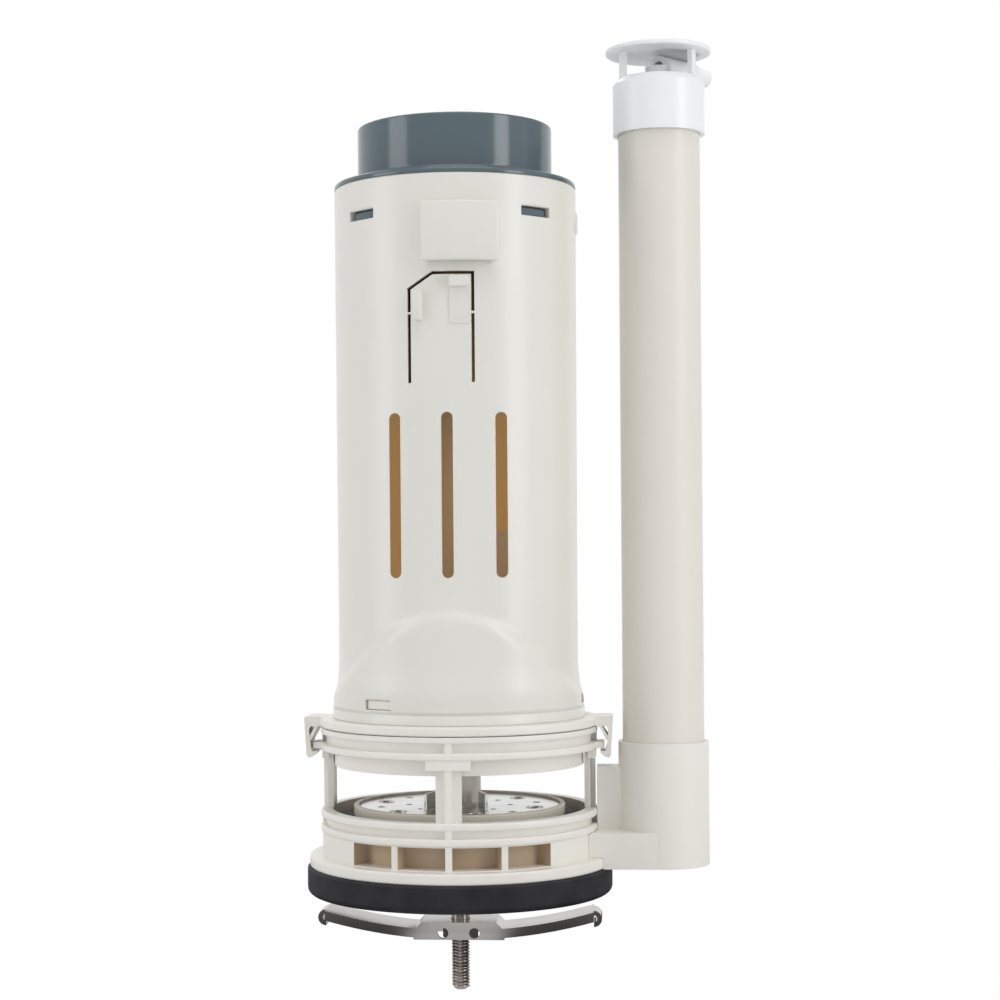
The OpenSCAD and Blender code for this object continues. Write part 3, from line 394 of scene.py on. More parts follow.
# Finishes: two shades as seen on screen, then the lowest and highest roughness
IVORY_TOWER = moulded("ivory_tower", (234, 233, 227), (230, 229, 222), 0.29, 0.34)
# Painted glow: the tower's inside is tinted warm brown and glows faintly, standing in for light that comes
# through the thin wall
PAINTED_GLOW_INSIDE = moulded(
    "painted_glow_inside", (190, 154, 102), (178, 142, 88), 0.5, 0.6,
    Emission_Color=srgb(150, 122, 80), Emission_Strength=0.66
)
# Painted shade: the tower's inside over the slots, coloured as the wall in shade
PAINTED_SHADE_INSIDE = moulded("painted_shade_inside", (92, 64, 36), (80, 54, 30), 0.6, 0.7)
CREAM_CAGE = moulded("cream_cage", (241, 239, 232), (237, 234, 227), 0.3, 0.4)
# Painted shade for the deep faces of the outlet's pockets
POCKET_PAINTED_SHADE = moulded("pocket_painted_shade", (196, 176, 150), (188, 168, 142), 0.5, 0.6)
BEIGE_DISC = moulded("beige_disc", (234, 227, 214), (228, 221, 207), 0.35, 0.45)
SLATE_CAP = moulded("slate_cap", (84, 101, 108), (80, 97, 104), 0.12, 0.18, depth=0.015)
PVC_TUBE = moulded("pvc_tube", (236, 232, 224), (231, 227, 218), 0.36, 0.46, cloud=18.0)
WHITE_HOOD = moulded("white_hood", (248, 249, 251), (245, 247, 249), 0.28, 0.36)
BLACK_RUBBER = moulded(
    "black_rubber", (50, 49, 55), (20, 19, 23), 0.55, 0.75, cloud=110.0, grain=500.0, depth=0.2,
    Specular_IOR_Level=0.25
)
STAINLESS = steel("stainless", (205, 203, 200), (178, 175, 171), 0.12, 0.26)
PLATE_STEEL = steel("plate_steel", (222, 222, 220), (206, 206, 204), 0.18, 0.26, streak=180.0)
SCREW_STEEL = steel("screw_steel", (158, 150, 145), (128, 119, 113), 0.16, 0.26)
BAR_STEEL = steel("bar_steel", (176, 173, 171), (150, 146, 143), 0.08, 0.16)
AMBER_ACETAL = moulded("amber_acetal", (206, 188, 150), (198, 178, 138), 0.35, 0.45)


# Meshes

def box_mm(node):
    """A solid's low and high corner in millimetres."""
    return tuple(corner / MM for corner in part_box(node))


def linked(name, data):
    """An object in the scene."""
    made = bpy.data.objects.new(name, data)
    bpy.context.scene.collection.objects.link(made)
    return made


def mesh_piece(name, points, faces, *materials):
    """A piece from points in millimetres."""
    mesh = bpy.data.meshes.new(name)
    mesh.from_pydata([Vector(p) * MM for p in points], [], faces)
    mesh.validate()
    for material in materials:
        mesh.materials.append(material)
    return linked(name, mesh)


def drop(pieces):
    for piece in pieces:
        mesh = piece.data
        bpy.data.objects.remove(piece)
        if mesh.users == 0:
            bpy.data.meshes.remove(mesh)


def baked(piece):
    """The piece with its modifiers turned into plain mesh."""
    bpy.context.view_layer.update()
    seen = piece.evaluated_get(bpy.context.evaluated_depsgraph_get())
    mesh = bpy.data.meshes.new_from_object(seen)
    piece.modifiers.clear()
    old = piece.data
    piece.data = mesh
    mesh.name = piece.name
    if old.users == 0:
        bpy.data.meshes.remove(old)
    return piece


def grown(piece, tree, values):
    """The piece after a Geometry Nodes tree, with values for the tree's named inputs."""
    identifiers = {item.name: item.identifier for item in tree.interface.items_tree if item.in_out == "INPUT"}
    step = piece.modifiers.new(tree.name, "NODES")
    step.node_group = tree
    for label, value in values.items():
        step[identifiers[label]] = value
    return baked(piece)


def recalculate(piece):
    """Turns the piece's faces outwards."""
    shape = bmesh.new()
    shape.from_mesh(piece.data)
    bmesh.ops.recalc_face_normals(shape, faces=shape.faces)
    shape.to_mesh(piece.data)
    shape.free()
    return piece


def smooth(piece, angle=SHARP_ANGLE):
    """Smooth shading with edges kept sharp past an angle."""
    piece.data.shade_smooth()
    piece.data.set_sharp_from_angle(angle=math.radians(angle))
    return piece


def rounded(piece, width, segments=2):
    """Rounds the piece's hard edges by a width in millimetres."""
    bevel = piece.modifiers.new("rounded edges", "BEVEL")
    bevel.width = width * MM
    bevel.segments = segments
    bevel.limit_method = "ANGLE"
    bevel.angle_limit = math.radians(HARD_ANGLE)
    bevel.use_clamp_overlap = True
    bevel.miter_outer = "MITER_ARC"
    weights = piece.modifiers.new("flat faces stay flat", "WEIGHTED_NORMAL")
    weights.keep_sharp = True
    return piece


def cut(piece, operation, tools):
    """Joins the tools to the piece or cuts them out of it, and drops the tools."""
    for tool in tools:
        step = piece.modifiers.new("moulding", "BOOLEAN")
        step.operation = operation
        step.solver = "EXACT"
        step.material_mode = "TRANSFER"
        step.object = tool
        baked(piece)
    drop(tools)
    return piece


def seated(piece, node):
    """The piece stands for a solid: it rides on the same body, and the solid is hidden."""
    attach(piece, BODY_OF[node])
    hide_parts(node)
    return piece


def merged_copy(node, material):
    """A copy of a solid's mesh with its doubles merged, its flat faces whole and its finish."""
    mesh = frame["nodes"][node].data.copy()
    mesh.materials.clear()
    shape = bmesh.new()
    shape.from_mesh(mesh)
    bmesh.ops.remove_doubles(shape, verts=shape.verts, dist=MERGE_GAP * MM)
    bmesh.ops.dissolve_limit(
        shape, angle_limit=math.radians(FLAT_ANGLE), verts=shape.verts, edges=shape.edges
    )
    shape.to_mesh(mesh)
    shape.free()
    if mesh.has_custom_normals:
        mesh.normals_split_custom_set([(0, 0, 0)] * len(mesh.loops))
    mesh.materials.append(material)
    return linked(node + "_skin", mesh)


def dressed(node, material, edge):
    """A solid's copy with rounded edges and its finish."""
    return seated(baked(rounded(smooth(merged_copy(node, material)), edge)), node)


# Tower

tower_low, tower_high = box_mm("tower_shell")
TOWER_Z = tower_low.z
TOWER_H = tower_high.z - tower_low.z
TOWER_FOOT_R = -tower_low.x
HOLDER_Z = TOWER_Z + TOWER_H - HOLDER_DROP - HOLDER_H
TONGUE_Z = HOLDER_Z - TONGUE_GAP - TONGUE_H


def around(angle, radius, height):
    """A point from its direction, counted from the front towards the overflow tube."""
    a = math.radians(angle)
    return (radius * math.sin(a), -radius * math.cos(a), height)


def eased(share):
    """A share from 0 to 1 with a soft start and end."""
    share = min(max(share, 0), 1)
    return share * share * (3 - 2 * share)


def arch_rise(angle, height):
    """How far the arch over the foot stands out, eased over its sloped edge and down to the foot's band."""
    across = TOWER_R * math.sin(math.radians(angle))
    bend = ARCH_FALL / TOWER_R ** 2
    inside = (ARCH_H - bend * across ** 2 - height) / math.hypot(1, 2 * bend * across)
    return ARCH_PROUD * eased(inside / ARCH_SLOPE) * eased((height - ARCH_FOOT) / ARCH_SETTLE)


def tower_outside_r(height):
    """The wall's radius without the arch: the foot's band, the flare over it and the straight wall."""
    if height < BAND_H:
        return TOWER_FOOT_R
    if height < FLARE_H:
        left = (FLARE_H - height) / (FLARE_H - BAND_H)
        return TOWER_R + (TOWER_FOOT_R - FLARE_STEP - TOWER_R) * left ** FLARE_POWER
    return TOWER_R + (TOWER_TOP_R - TOWER_R) * (height - FLARE_H) / (TOWER_H - FLARE_H)


def tower_rings():
    """The wall's rings from the foot, up the outside, over the top and down the inside.

    Each is (radius, height, whether the arch lifts it, whether it is inside).
    """
    foot, inner = TOWER_FOOT_R, TOWER_R - TOWER_WALL
    low = [BAND_H + HAIR + i * LOW_RING_STEP for i in range(LOW_RINGS)]
    tall = [
        low[-1] + (TOWER_H - TOP_EASE - low[-1]) * i / TALL_RINGS for i in range(1, TALL_RINGS + 1)
    ]
    band = [
        (foot - LIP_EASE, 0.0), (foot, LIP_EASE), (foot, BAND_H - BAND_EASE), (foot - BAND_STEP, BAND_H),
    ]
    inside = [
        (TOWER_TOP_R - TOWER_WALL, TOWER_H - HAIR), (inner, TOWER_H - SNAP_DROP - SNAP_SEAT),
        (inner, SLOT_Z + SLOT_H + SHADE_PAINTED_OVER_SLOT), (inner, PLUG_H + PLUG_CLEAR + PLUG_SLOPE),
        (foot - TOWER_WALL, PLUG_H + PLUG_CLEAR), (foot - TOWER_WALL, 0.0),
    ]
    rings = [(radius, height, False, False) for radius, height in band]
    rings += [(tower_outside_r(height), height, True, False) for height in low + tall]
    rings += [(TOWER_TOP_R - LIP_EASE, TOWER_H - HAIR, False, False)]
    rings += [(radius, height, False, True) for radius, height in inside]
    return rings


def tower_wall():
    """The closed wall, ivory outside; inside, a painted warm glow by the slots and painted shade over them.
    """
    rings, columns = tower_rings(), TOWER_COLUMNS
    ivory, glow_painted, shade_painted = range(3)
    points, faces, shades = [], [], []
    for radius, height, lifted, _ in rings:
        for c in range(columns):
            angle = 360 * c / columns
            lift = arch_rise(angle, height) if lifted else 0
            points.append(around(angle, radius + lift, TOWER_Z + height))
    for r, (_, height, _, inside) in enumerate(rings):
        n = (r + 1) % len(rings)
        hidden = inside and rings[n][3]
        # Inside faces high over the slots get painted shade, lower ones the painted glow
        over_slots = height > SLOT_Z + SLOT_H + SHADE_PAINTED_OVER_SLOT
        for c in range(columns):
            d = (c + 1) % columns
            faces.append((r * columns + c, r * columns + d, n * columns + d, n * columns + c))
            shades.append(ivory if not hidden else shade_painted if over_slots else glow_painted)
    wall = mesh_piece("tower_skin", points, faces, IVORY_TOWER, PAINTED_GLOW_INSIDE, PAINTED_SHADE_INSIDE)
    for face, shade in zip(wall.data.polygons, shades):
        face.material_index = shade
    return wall


def radial_prism(name, outline, stations, angle=0.0):
    """A prism pushed out from the axis. Each station is (reach, how much the outline grows there)."""
    n = len(outline)
    a = math.radians(angle)
    mid_x = sum(x for x, _ in outline) / n
    mid_z = sum(z for _, z in outline) / n
    points = []
    for reach, grow in stations:
        for x, z in outline:
            dx, dz = x - mid_x, z - mid_z
            x = x + math.copysign(min(grow, abs(dx)), dx)
            z = z + math.copysign(min(grow, abs(dz)), dz)
            points.append((
                x * math.cos(a) + reach * math.sin(a), x * math.sin(a) - reach * math.cos(a), z
            ))
    faces = [tuple(range(n)), tuple(reversed(range(len(points) - n, len(points))))]
    for s in range(len(stations) - 1):
        for i in range(n):
            j = (i + 1) % n
            faces.append((s * n + j, s * n + i, (s + 1) * n + i, (s + 1) * n + j))
    return recalculate(mesh_piece(name, points, faces, IVORY_TOWER))


def sector_block(name, inner, outer, low, high, mid, span):
    """Part of a ring as a block with curved faces."""
    points, faces = [], []
    for i in range(SECTOR_STEPS + 1):
        angle = mid - span / 2 + span * i / SECTOR_STEPS
        for radius, height in ((inner, low), (outer, low), (outer, high), (inner, high)):
            points.append(around(angle, radius, height))
    for i in range(SECTOR_STEPS):
        for k in range(4):
            m = (k + 1) % 4
            faces.append((4 * i + k, 4 * i + m, 4 * i + 4 + m, 4 * i + 4 + k))
    faces += [(3, 2, 1, 0), tuple(4 * SECTOR_STEPS + k for k in range(4))]
    return recalculate(mesh_piece(name, points, faces, IVORY_TOWER))


def box_outline(left, right, low, high):
    return [(left, low), (right, low), (right, high), (left, high)]


def window_outline(width, middle):
    return box_outline(-width / 2, width / 2, middle - SNAP_H / 2, middle + SNAP_H / 2)


def slot_outline(middle):
    """An upright slot with round ends."""
    half, low = SLOT_W / 2, TOWER_Z + SLOT_Z
    turn = [math.pi * i / SLOT_END_STEPS for i in range(SLOT_END_STEPS + 1)]
    top = [(middle + half * math.cos(t), low + SLOT_H - half + half * math.sin(t)) for t in turn]
    foot = [(middle - half * math.cos(t), low + half - half * math.sin(t)) for t in turn]
    return top + foot


def ring_of_copies_tree():
    """Copies of one piece turned round the valve's axis."""
    tree, inside, out = new_group("Ring of copies", "GeometryNodeTree", (
        ("Geometry", SHAPE, None), ("Count", WHOLE, None), ("First angle", FLOAT, None),
        ("Step angle", FLOAT, None), ("Finish", FINISH, None),
    ), (("Geometry", SHAPE),))
    seats = tree.nodes.new("GeometryNodePoints")
    index = tree.nodes.new("GeometryNodeInputIndex")
    turn = maths(tree, "MULTIPLY_ADD")
    axis = tree.nodes.new("ShaderNodeCombineXYZ")
    copies = tree.nodes.new("GeometryNodeInstanceOnPoints")
    real = tree.nodes.new("GeometryNodeRealizeInstances")
    paint = tree.nodes.new("GeometryNodeSetMaterial")
    link(
        tree,
        (inside, "Count", seats, "Count"), (index, "Index", turn, 0),
        (inside, "Step angle", turn, 1), (inside, "First angle", turn, 2),
        (turn, "Value", axis, "Z"), (seats, 0, copies, "Points"),
        (inside, "Geometry", copies, "Instance"), (axis, "Vector", copies, "Rotation"),
        (copies, "Instances", real, "Geometry"), (real, "Geometry", paint, "Geometry"),
        (inside, "Finish", paint, "Material"), (paint, "Geometry", out, "Geometry"),
    )
    return tree


RING_OF_COPIES = ring_of_copies_tree()


def ring_of(piece, count, first, material):
    """The piece repeated evenly round the axis, from a first angle."""
    return grown(piece, RING_OF_COPIES, {
        "Count": count, "First angle": math.radians(first), "Step angle": math.radians(360 / count),
        "Finish": material,
    })


def window_ring(name, width, middle, wall_r, count, first):
    """Cutters for a ring of windows that flare at the wall's face."""
    flare = [
        (wall_r - WINDOW_CUT, 0), (wall_r - WINDOW_FLARE_IN, 0),
        (wall_r + WINDOW_FLARE_OUT, WINDOW_FLARE), (wall_r + WINDOW_CUT, WINDOW_FLARE),
    ]
    return ring_of(radial_prism(name, window_outline(width, middle), flare), count, first, IVORY_TOWER)


def tongue_slit():
    """Strips that part the latch tongue from the wall, with a small bridge left on either side."""
    half, top = TONGUE_W / 2, TONGUE_Z + TONGUE_H
    knee = (-half, TONGUE_Z + TONGUE_H * KNEE_SHARE)
    peak = (-TONGUE_W * PEAK_SHARE, top)
    bridge = TONGUE_Z + TONGUE_H * BRIDGE_SHARE
    w = SLIT_W / 2
    lean = Vector((peak[0] - knee[0], peak[1] - knee[1])).normalized() * w
    slope = [
        (end[0] + side * lean.y + along * lean.x, end[1] - side * lean.x + along * lean.y)
        for end, side, along in ((knee, 1, -1), (peak, 1, 1), (peak, -1, 1), (knee, -1, -1))
    ]
    strips = [
        box_outline(-half - w, -half + w, TONGUE_Z, bridge),
        box_outline(-half - w, -half + w, bridge + BRIDGE_H, knee[1]),
        slope,
        box_outline(peak[0] - SLIT_LAP, half + w, top - w, top + w),
        box_outline(half - w, half + w, bridge + BRIDGE_H, top),
        box_outline(half - w, half + w, TONGUE_Z, bridge),
    ]
    reach = [(TOWER_R - SLIT_CUT_IN, 0), (TOWER_R + SLIT_CUT_OUT, 0)]
    return [
        radial_prism(f"slit_cutter_{i}", strip, reach, TONGUE_ANGLE) for i, strip in enumerate(strips)
    ]


def tower_windows():
    """Cutters for the inspection slots, the snap windows and the slit around the latch tongue."""
    reach = [(TOWER_R - SLOT_CUT_IN, 0), (TOWER_R + SLOT_CUT_OUT, 0)]
    slots = [
        radial_prism(f"slot_cutter_{i}", slot_outline(TOWER_R * math.sin(math.radians(turn))), reach)
        for i, turn in enumerate((-SLOT_PITCH, 0, SLOT_PITCH))
    ]
    snap_z = TOWER_Z + TOWER_H - SNAP_DROP
    snaps = window_ring("snap_cutter", SNAP_W, snap_z, TOWER_R, SNAP_COUNT, SNAP_ANGLE)
    low_z = TOWER_Z + LOW_SNAP_Z
    lows = window_ring(
        "low_snap_cutter", LOW_SNAP_W, low_z, TOWER_FOOT_R, LOW_SNAP_COUNT, LOW_SNAP_ANGLE
    )
    return [*slots, snaps, lows, *tongue_slit()]


def tower_fittings():
    """Raised shapes on the tower: the accessory pocket, the latch's bumps and the side pad."""
    root = TOWER_R - TOWER_WALL / 2
    front, roof = TOWER_R + HOLDER_PROUD, HOLDER_Z + HOLDER_H
    pocket = sector_block("pocket", root, front, HOLDER_Z, roof, HOLDER_ANGLE, HOLDER_SPAN)
    baked(rounded(pocket, HOLDER_ROUND, segments=3))
    side_walls = math.degrees(2 * HOLDER_WALL / TOWER_R)
    mouth = sector_block(
        "pocket_mouth", TOWER_R + MOUTH_BACK, front - HOLDER_WALL, HOLDER_Z - MOUTH_PAST,
        roof - HOLDER_WALL, HOLDER_ANGLE, HOLDER_SPAN - side_walls
    )
    cut(pocket, "DIFFERENCE", [mouth])
    top = TONGUE_Z + TONGUE_H - SLIT_W
    bumps = []
    for name, half, head, foot, turn, proud, edge in LATCH_BUMPS:
        outline = box_outline(-half, half, top - foot, top - head)
        bump = radial_prism(name, outline, [(root, 0), (TOWER_R + proud, 0)], TONGUE_ANGLE + turn)
        bumps.append(baked(rounded(bump, edge)))
    snap_z = TOWER_Z + TOWER_H - SNAP_DROP
    pad = sector_block(
        "side_pad", root, TOWER_R + SIDE_PAD_PROUD, snap_z - SNAP_H, snap_z + SNAP_H,
        SIDE_PAD_ANGLE, SIDE_PAD_SPAN
    )
    baked(rounded(pad, SIDE_PAD_ROUND))
    return [pocket, *bumps, pad]


def true_round(wall):
    """Shades the plain wall over the arch as the round wall that it is, also where a cut split its faces."""
    mesh = wall.data
    normals = [(0.0, 0.0, 0.0)] * len(mesh.loops)
    plain = (TOWER_Z + ARCH_H + PLAIN_OVER_ARCH) * MM
    for face in mesh.polygons:
        corners = [mesh.vertices[v].co for v in face.vertices]
        outward = Vector((face.center.x, face.center.y, 0)).normalized()
        wall_r = tower_outside_r(face.center.z / MM - TOWER_Z)
        on_wall = all(abs(p.xy.length / MM - wall_r) < WALL_SLACK for p in corners)
        facing = face.normal.dot(outward) > WALL_FACING
        if on_wall and facing and min(p.z for p in corners) > plain:
            for loop, p in zip(face.loop_indices, corners):
                normals[loop] = (p.x / p.xy.length, p.y / p.xy.length, 0.0)
    mesh.normals_split_custom_set(normals)
    return wall


def tower():
    wall = tower_wall()
    cut(wall, "UNION", tower_fittings())
    cut(wall, "DIFFERENCE", tower_windows())
    seated(true_round(smooth(wall, 30)), "tower_shell")


# Threads and coils

def coil_tree():
    """A wire swept along a helix round the valve's axis."""
    tree, inside, out = new_group("Coil", "GeometryNodeTree", (
        ("Geometry", SHAPE, None), ("Turns", FLOAT, None), ("Coil radius", FLOAT, None),
        ("Height", FLOAT, None), ("Foot height", FLOAT, None), ("Wire radius", FLOAT, None),
        ("Wire sides", WHOLE, None), ("Steps per turn", WHOLE, None), ("Finish", FINISH, None),
    ), (("Geometry", SHAPE),))
    helix = tree.nodes.new("GeometryNodeCurveSpiral")
    wire = tree.nodes.new("GeometryNodeCurvePrimitiveCircle")
    sweep = tree.nodes.new("GeometryNodeCurveToMesh")
    set_inputs(sweep, Fill_Caps=True)
    lift = tree.nodes.new("GeometryNodeTransform")
    place = tree.nodes.new("ShaderNodeCombineXYZ")
    real = tree.nodes.new("GeometryNodeRealizeInstances")
    paint = tree.nodes.new("GeometryNodeSetMaterial")
    link(
        tree,
        (inside, "Steps per turn", helix, "Resolution"), (inside, "Turns", helix, "Rotations"),
        (inside, "Coil radius", helix, "Start Radius"), (inside, "Coil radius", helix, "End Radius"),
        (inside, "Height", helix, "Height"), (inside, "Wire sides", wire, "Resolution"),
        (inside, "Wire radius", wire, "Radius"), (helix, "Curve", sweep, "Curve"),
        (wire, "Curve", sweep, "Profile Curve"), (inside, "Foot height", place, "Z"),
        (sweep, "Mesh", lift, "Geometry"), (place, "Vector", lift, "Translation"),
        (lift, "Geometry", real, "Geometry"), (real, "Geometry", paint, "Geometry"),
        (inside, "Finish", paint, "Material"), (paint, "Geometry", out, "Geometry"),
    )
    return tree


COIL = coil_tree()


def coil(name, material, turns, radius, height, foot, wire, sides, steps):
    """A coil with its sizes in millimetres, and the sides of its wire and the steps of a turn as counts."""
    piece = linked(name, bpy.data.meshes.new(name))
    return recalculate(grown(piece, COIL, {
        "Turns": turns, "Coil radius": radius * MM, "Height": height * MM, "Foot height": foot * MM,
        "Wire radius": wire * MM, "Wire sides": sides, "Steps per turn": steps, "Finish": material,
    }))


def return_spring():
    """The spring under the button, wound as tall as the spring's solid."""
    low, high = box_mm("button_spring")
    tall, wire = high.z - low.z, SPRING_WIRE / 2
    spring = coil(
        "return_spring", STAINLESS, SPRING_TURNS, SPRING_D / 2, height=tall - 2 * wire,
        foot=low.z + wire, wire=wire, sides=12, steps=40
    )
    seated(smooth(spring, 50), "button_spring")
    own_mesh(spring)


def cut_down(shank):
    """Turns the shank down to the thread's root, so that the crests stay inside the nut."""
    shape = bmesh.new()
    shape.from_mesh(shank.data)
    for height in (THREAD_TOP + RUNOUT_H, THREAD_TOP):
        every = shape.verts[:] + shape.edges[:] + shape.faces[:]
        bmesh.ops.bisect_plane(shape, geom=every, plane_co=(0, 0, height * MM), plane_no=(0, 0, 1))
    for point in shape.verts:
        if point.co.z < (THREAD_TOP + RUNOUT_H / 2) * MM:
            point.co.xy = point.co.xy * (THREAD_ROOT_R / SCREW_R)
    shape.to_mesh(shank.data)
    shape.free()
    return shank


def clamp_screw():
    """The screw's solid with its shank turned down and a thread wound on it."""
    foot = box_mm("clamp_screw")[0].z + THREAD_LEAD
    shank = cut_down(merged_copy("clamp_screw", SCREW_STEEL))
    seated(baked(rounded(smooth(shank), SCREW_EDGE)), "clamp_screw")
    tall = THREAD_TOP - foot
    thread = coil(
        "screw_thread", SCREW_STEEL, tall / THREAD_PITCH, THREAD_ROOT_R + THREAD_LIFT, height=tall,
        foot=foot, wire=THREAD_DEPTH, sides=6, steps=32
    )
    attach(smooth(thread, 60), BODY_OF["clamp_screw"])


# Outlet and disc

def shade_pockets(outlet):
    """Paints shade onto the deep faces of the outlet's pockets: a darker, browner colour where a recess in
    thick plastic lies in shade.
    """
    outlet.data.materials.append(POCKET_PAINTED_SHADE)
    for face in outlet.data.polygons:
        middle = face.center / MM
        reach = math.hypot(middle.x, middle.y)
        in_pocket = POCKET_R - POCKET_SLACK < reach < DRUM_R - DRUM_LIP
        if in_pocket and POCKET_Z < middle.z < POCKET_Z + POCKET_H and face.normal.z < LEDGE_FACING:
            face.material_index = 1


def plate_rims():
    """Pressed rims round the outer holes of the disc's plate, as small rings turned round the axis."""
    points, faces = [], []
    for i in range(RIM_STEPS):
        turn = 2 * math.pi * i / RIM_STEPS
        for k in range(RIM_SIDES):
            tilt = 2 * math.pi * k / RIM_SIDES
            reach = RIM_R + RIM_WIRE * math.cos(tilt)
            height = PLATE_TOP + RIM_WIRE * math.sin(tilt)
            points.append((reach * math.cos(turn), RIM_REACH + reach * math.sin(turn), height))
            here, ahead = i * RIM_SIDES, (i + 1) % RIM_STEPS * RIM_SIDES
            m = (k + 1) % RIM_SIDES
            faces.append((here + k, ahead + k, ahead + m, here + m))
    rims = recalculate(mesh_piece("plate_rims", points, faces, PLATE_STEEL))
    ring_of(rims, RIM_COUNT, RIM_ANGLE, PLATE_STEEL)
    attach(smooth(rims, 80), BODY_OF["disc_plate"])


# Stage

def looked_at(tree):
    """The light path, and a value that is 1 where the camera or a reflection looks at the surface."""
    light = tree.nodes.new("ShaderNodeLightPath")
    seen = maths(tree, "MAXIMUM")
    link(tree, (light, "Is Camera Ray", seen, 0), (light, "Is Glossy Ray", seen, 1))
    return light, seen


def backdrop_material():
    """A white floor to the camera and the lamps, with a painted reflection, darker either side of the part,
    that only polished steel mirrors.
    """
    material = bpy.data.materials.new("backdrop")
    material.use_nodes = True
    tree = material.node_tree
    shader = tree.nodes["Principled BSDF"]
    set_inputs(
        shader, Base_Color=(FLOOR_GREY, FLOOR_GREY, FLOOR_GREY, 1), Roughness=0.9, Specular_IOR_Level=0.0
    )
    place = tree.nodes.new("ShaderNodeTexCoord")
    away = tree.nodes.new("ShaderNodeVectorMath")
    away.operation = "LENGTH"
    parts = tree.nodes.new("ShaderNodeSeparateXYZ")
    fade, gap = (tree.nodes.new("ShaderNodeMapRange") for _ in range(2))
    set_inputs(fade, From_Min=PAINTED_REFLECTION_NEAR * MM, From_Max=PAINTED_REFLECTION_FAR * MM, To_Min=PAINTED_REFLECTION_SHADE, To_Max=1.0)
    set_inputs(gap, From_Min=GAP_NEAR * MM, From_Max=GAP_FAR * MM, To_Min=1.0, To_Max=0.0)
    shift, aside = maths(tree, "ADD"), maths(tree, "ABSOLUTE")
    shift.inputs[1].default_value = GAP_SHIFT * MM
    # Painted reflection: glossy rays see the floor darker near the part, except in the pale gap
    painted_reflection, strength = maths(tree, "MAXIMUM"), maths(tree, "MAXIMUM")
    keep = maths(tree, "MULTIPLY")
    keep.inputs[1].default_value = FLOOR_SEEN
    glow = tree.nodes.new("ShaderNodeEmission")
    mix = tree.nodes.new("ShaderNodeMixShader")
    light, seen = looked_at(tree)
    link(
        tree,
        (place, "Object", away, 0), (away, "Value", fade, "Value"),
        (place, "Object", parts, "Vector"), (parts, "X", shift, 0),
        (shift, "Value", aside, 0), (aside, "Value", gap, "Value"),
        (fade, "Result", painted_reflection, 0), (gap, "Result", painted_reflection, 1),
        (painted_reflection, "Value", strength, 0), (light, "Is Camera Ray", strength, 1),
        (strength, "Value", glow, "Strength"), (seen, "Value", keep, 0), (keep, "Value", mix, "Fac"),
        (shader, "BSDF", mix, 1), (glow, "Emission", mix, 2),
        (mix, "Shader", tree.nodes["Material Output"], "Surface"),
    )
    return material


def studio():
    height, half = cad_box[0].z - FLOOR_DROP * MM, FLOOR_HALF * MM
    corners = [(x * half, y * half, height) for x, y in ((-1, -1), (1, -1), (1, 1), (-1, 1))]
    mesh = bpy.data.meshes.new("floor")
    mesh.from_pydata(corners, [], [(0, 1, 2, 3)])
    mesh.materials.append(backdrop_material())
    floor = linked("floor", mesh)


def world_light():
    """Even light for the object, and white where the camera or a reflection looks past it."""
    world = bpy.data.worlds.new("studio")
    bpy.context.scene.world = world
    world.use_nodes = True
    tree = world.node_tree
    fill = tree.nodes["Background"]
    set_inputs(fill, Color=WHITE, Strength=WORLD_FILL)
    white = tree.nodes.new("ShaderNodeBackground")
    set_inputs(white, Color=WHITE, Strength=1.0)
    _, seen = looked_at(tree)
    mix = tree.nodes.new("ShaderNodeMixShader")
    link(
        tree,
        (seen, "Value", mix, "Fac"), (fill, "Background", mix, 1), (white, "Background", mix, 2),
        (mix, "Shader", tree.nodes["World Output"], "Surface"),
    )


def soft_box(name, place, target, size, power):
    """An area lamp at a place, in millimetres, facing a target."""
    data = bpy.data.lights.new(name, "AREA")
    data.shape = "RECTANGLE"
    data.size, data.size_y = (s * MM for s in size)
    data.energy = power
    box = linked(name, data)
    place, target = Vector(place) * MM, Vector(target) * MM
    box.location = place
    box.rotation_euler = (target - place).to_track_quat("-Z", "Y").to_euler()


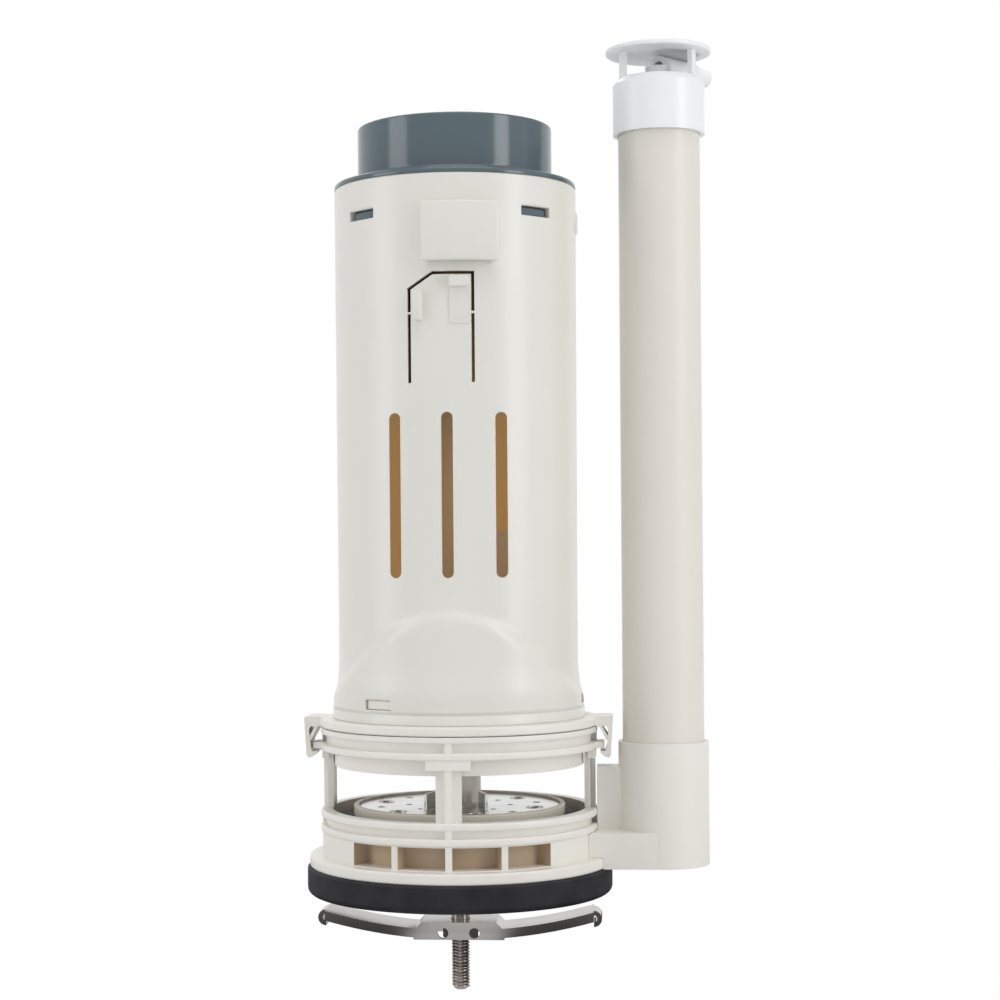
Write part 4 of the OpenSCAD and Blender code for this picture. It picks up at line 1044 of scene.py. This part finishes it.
def camera():
    data = bpy.data.cameras.new("camera")
    data.sensor_width = VIEW_SENSOR
    data.lens = VIEW_LENS
    data.shift_x, data.shift_y = VIEW_SHIFT
    data.clip_start, data.clip_end = (c * MM for c in VIEW_CLIP)
    eye = linked("camera", data)
    azimuth = math.radians(VIEW_AZIMUTH)
    place = Vector((math.sin(azimuth), -math.cos(azimuth), 0)) * VIEW_DISTANCE * MM
    place.z = VIEW_HEIGHT * MM
    turn = Matrix.Rotation(azimuth, 4, "Z") @ Matrix.Rotation(math.radians(90), 4, "X")
    roll = Matrix.Rotation(math.radians(VIEW_ROLL), 4, "Z")
    eye.matrix_world = Matrix.Translation(place) @ turn @ roll
    bpy.context.scene.camera = eye


# The object: each solid's finish and the width of its rounded edges

DRESSED_SOLIDS = (
    (SLATE_CAP, 0.25, "top_cap", "push_plate"),
    (CREAM_CAGE, 0.22, "seat_cage", "lock_collar", "stem_guide", "screw_spider"),
    (CREAM_CAGE, 0.12, "overflow_foot", "outlet_seat"),
    (CREAM_CAGE, 0.25, "valve_stem", "stem_head", "seal_retainer", "bottom_nut"),
    (BEIGE_DISC, 0.2, "disc_dish"),
    (IVORY_TOWER, 0.25, "float_cup", "side_float"),
    (AMBER_ACETAL, 0.15, "rocker_lever_left", "rocker_lever_right", "float_clip"),
    (BLACK_RUBBER, 0.3, "tank_gasket", "overflow_washer", "seal_ring"),
    (PVC_TUBE, 0.3, "overflow_tube"),
    (WHITE_HOOD, 0.25, "overflow_cap"),
    (PLATE_STEEL, 0.12, "disc_plate"),
    (STAINLESS, 0.2, "lever_pins", "screw_washer", "retaining_clip", "clamp_nut"),
    (BAR_STEEL, 0.2, "clamp_bar"),
)

tower()
skins = {node: dressed(node, finish, edge) for finish, edge, *nodes in DRESSED_SOLIDS for node in nodes}
shade_pockets(skins["outlet_seat"])
clamp_screw()
return_spring()
plate_rims()

studio()
world_light()
for box in SOFT_BOXES:
    soft_box(*box)
camera()
bpy.context.scene.view_settings.view_transform = "Standard"
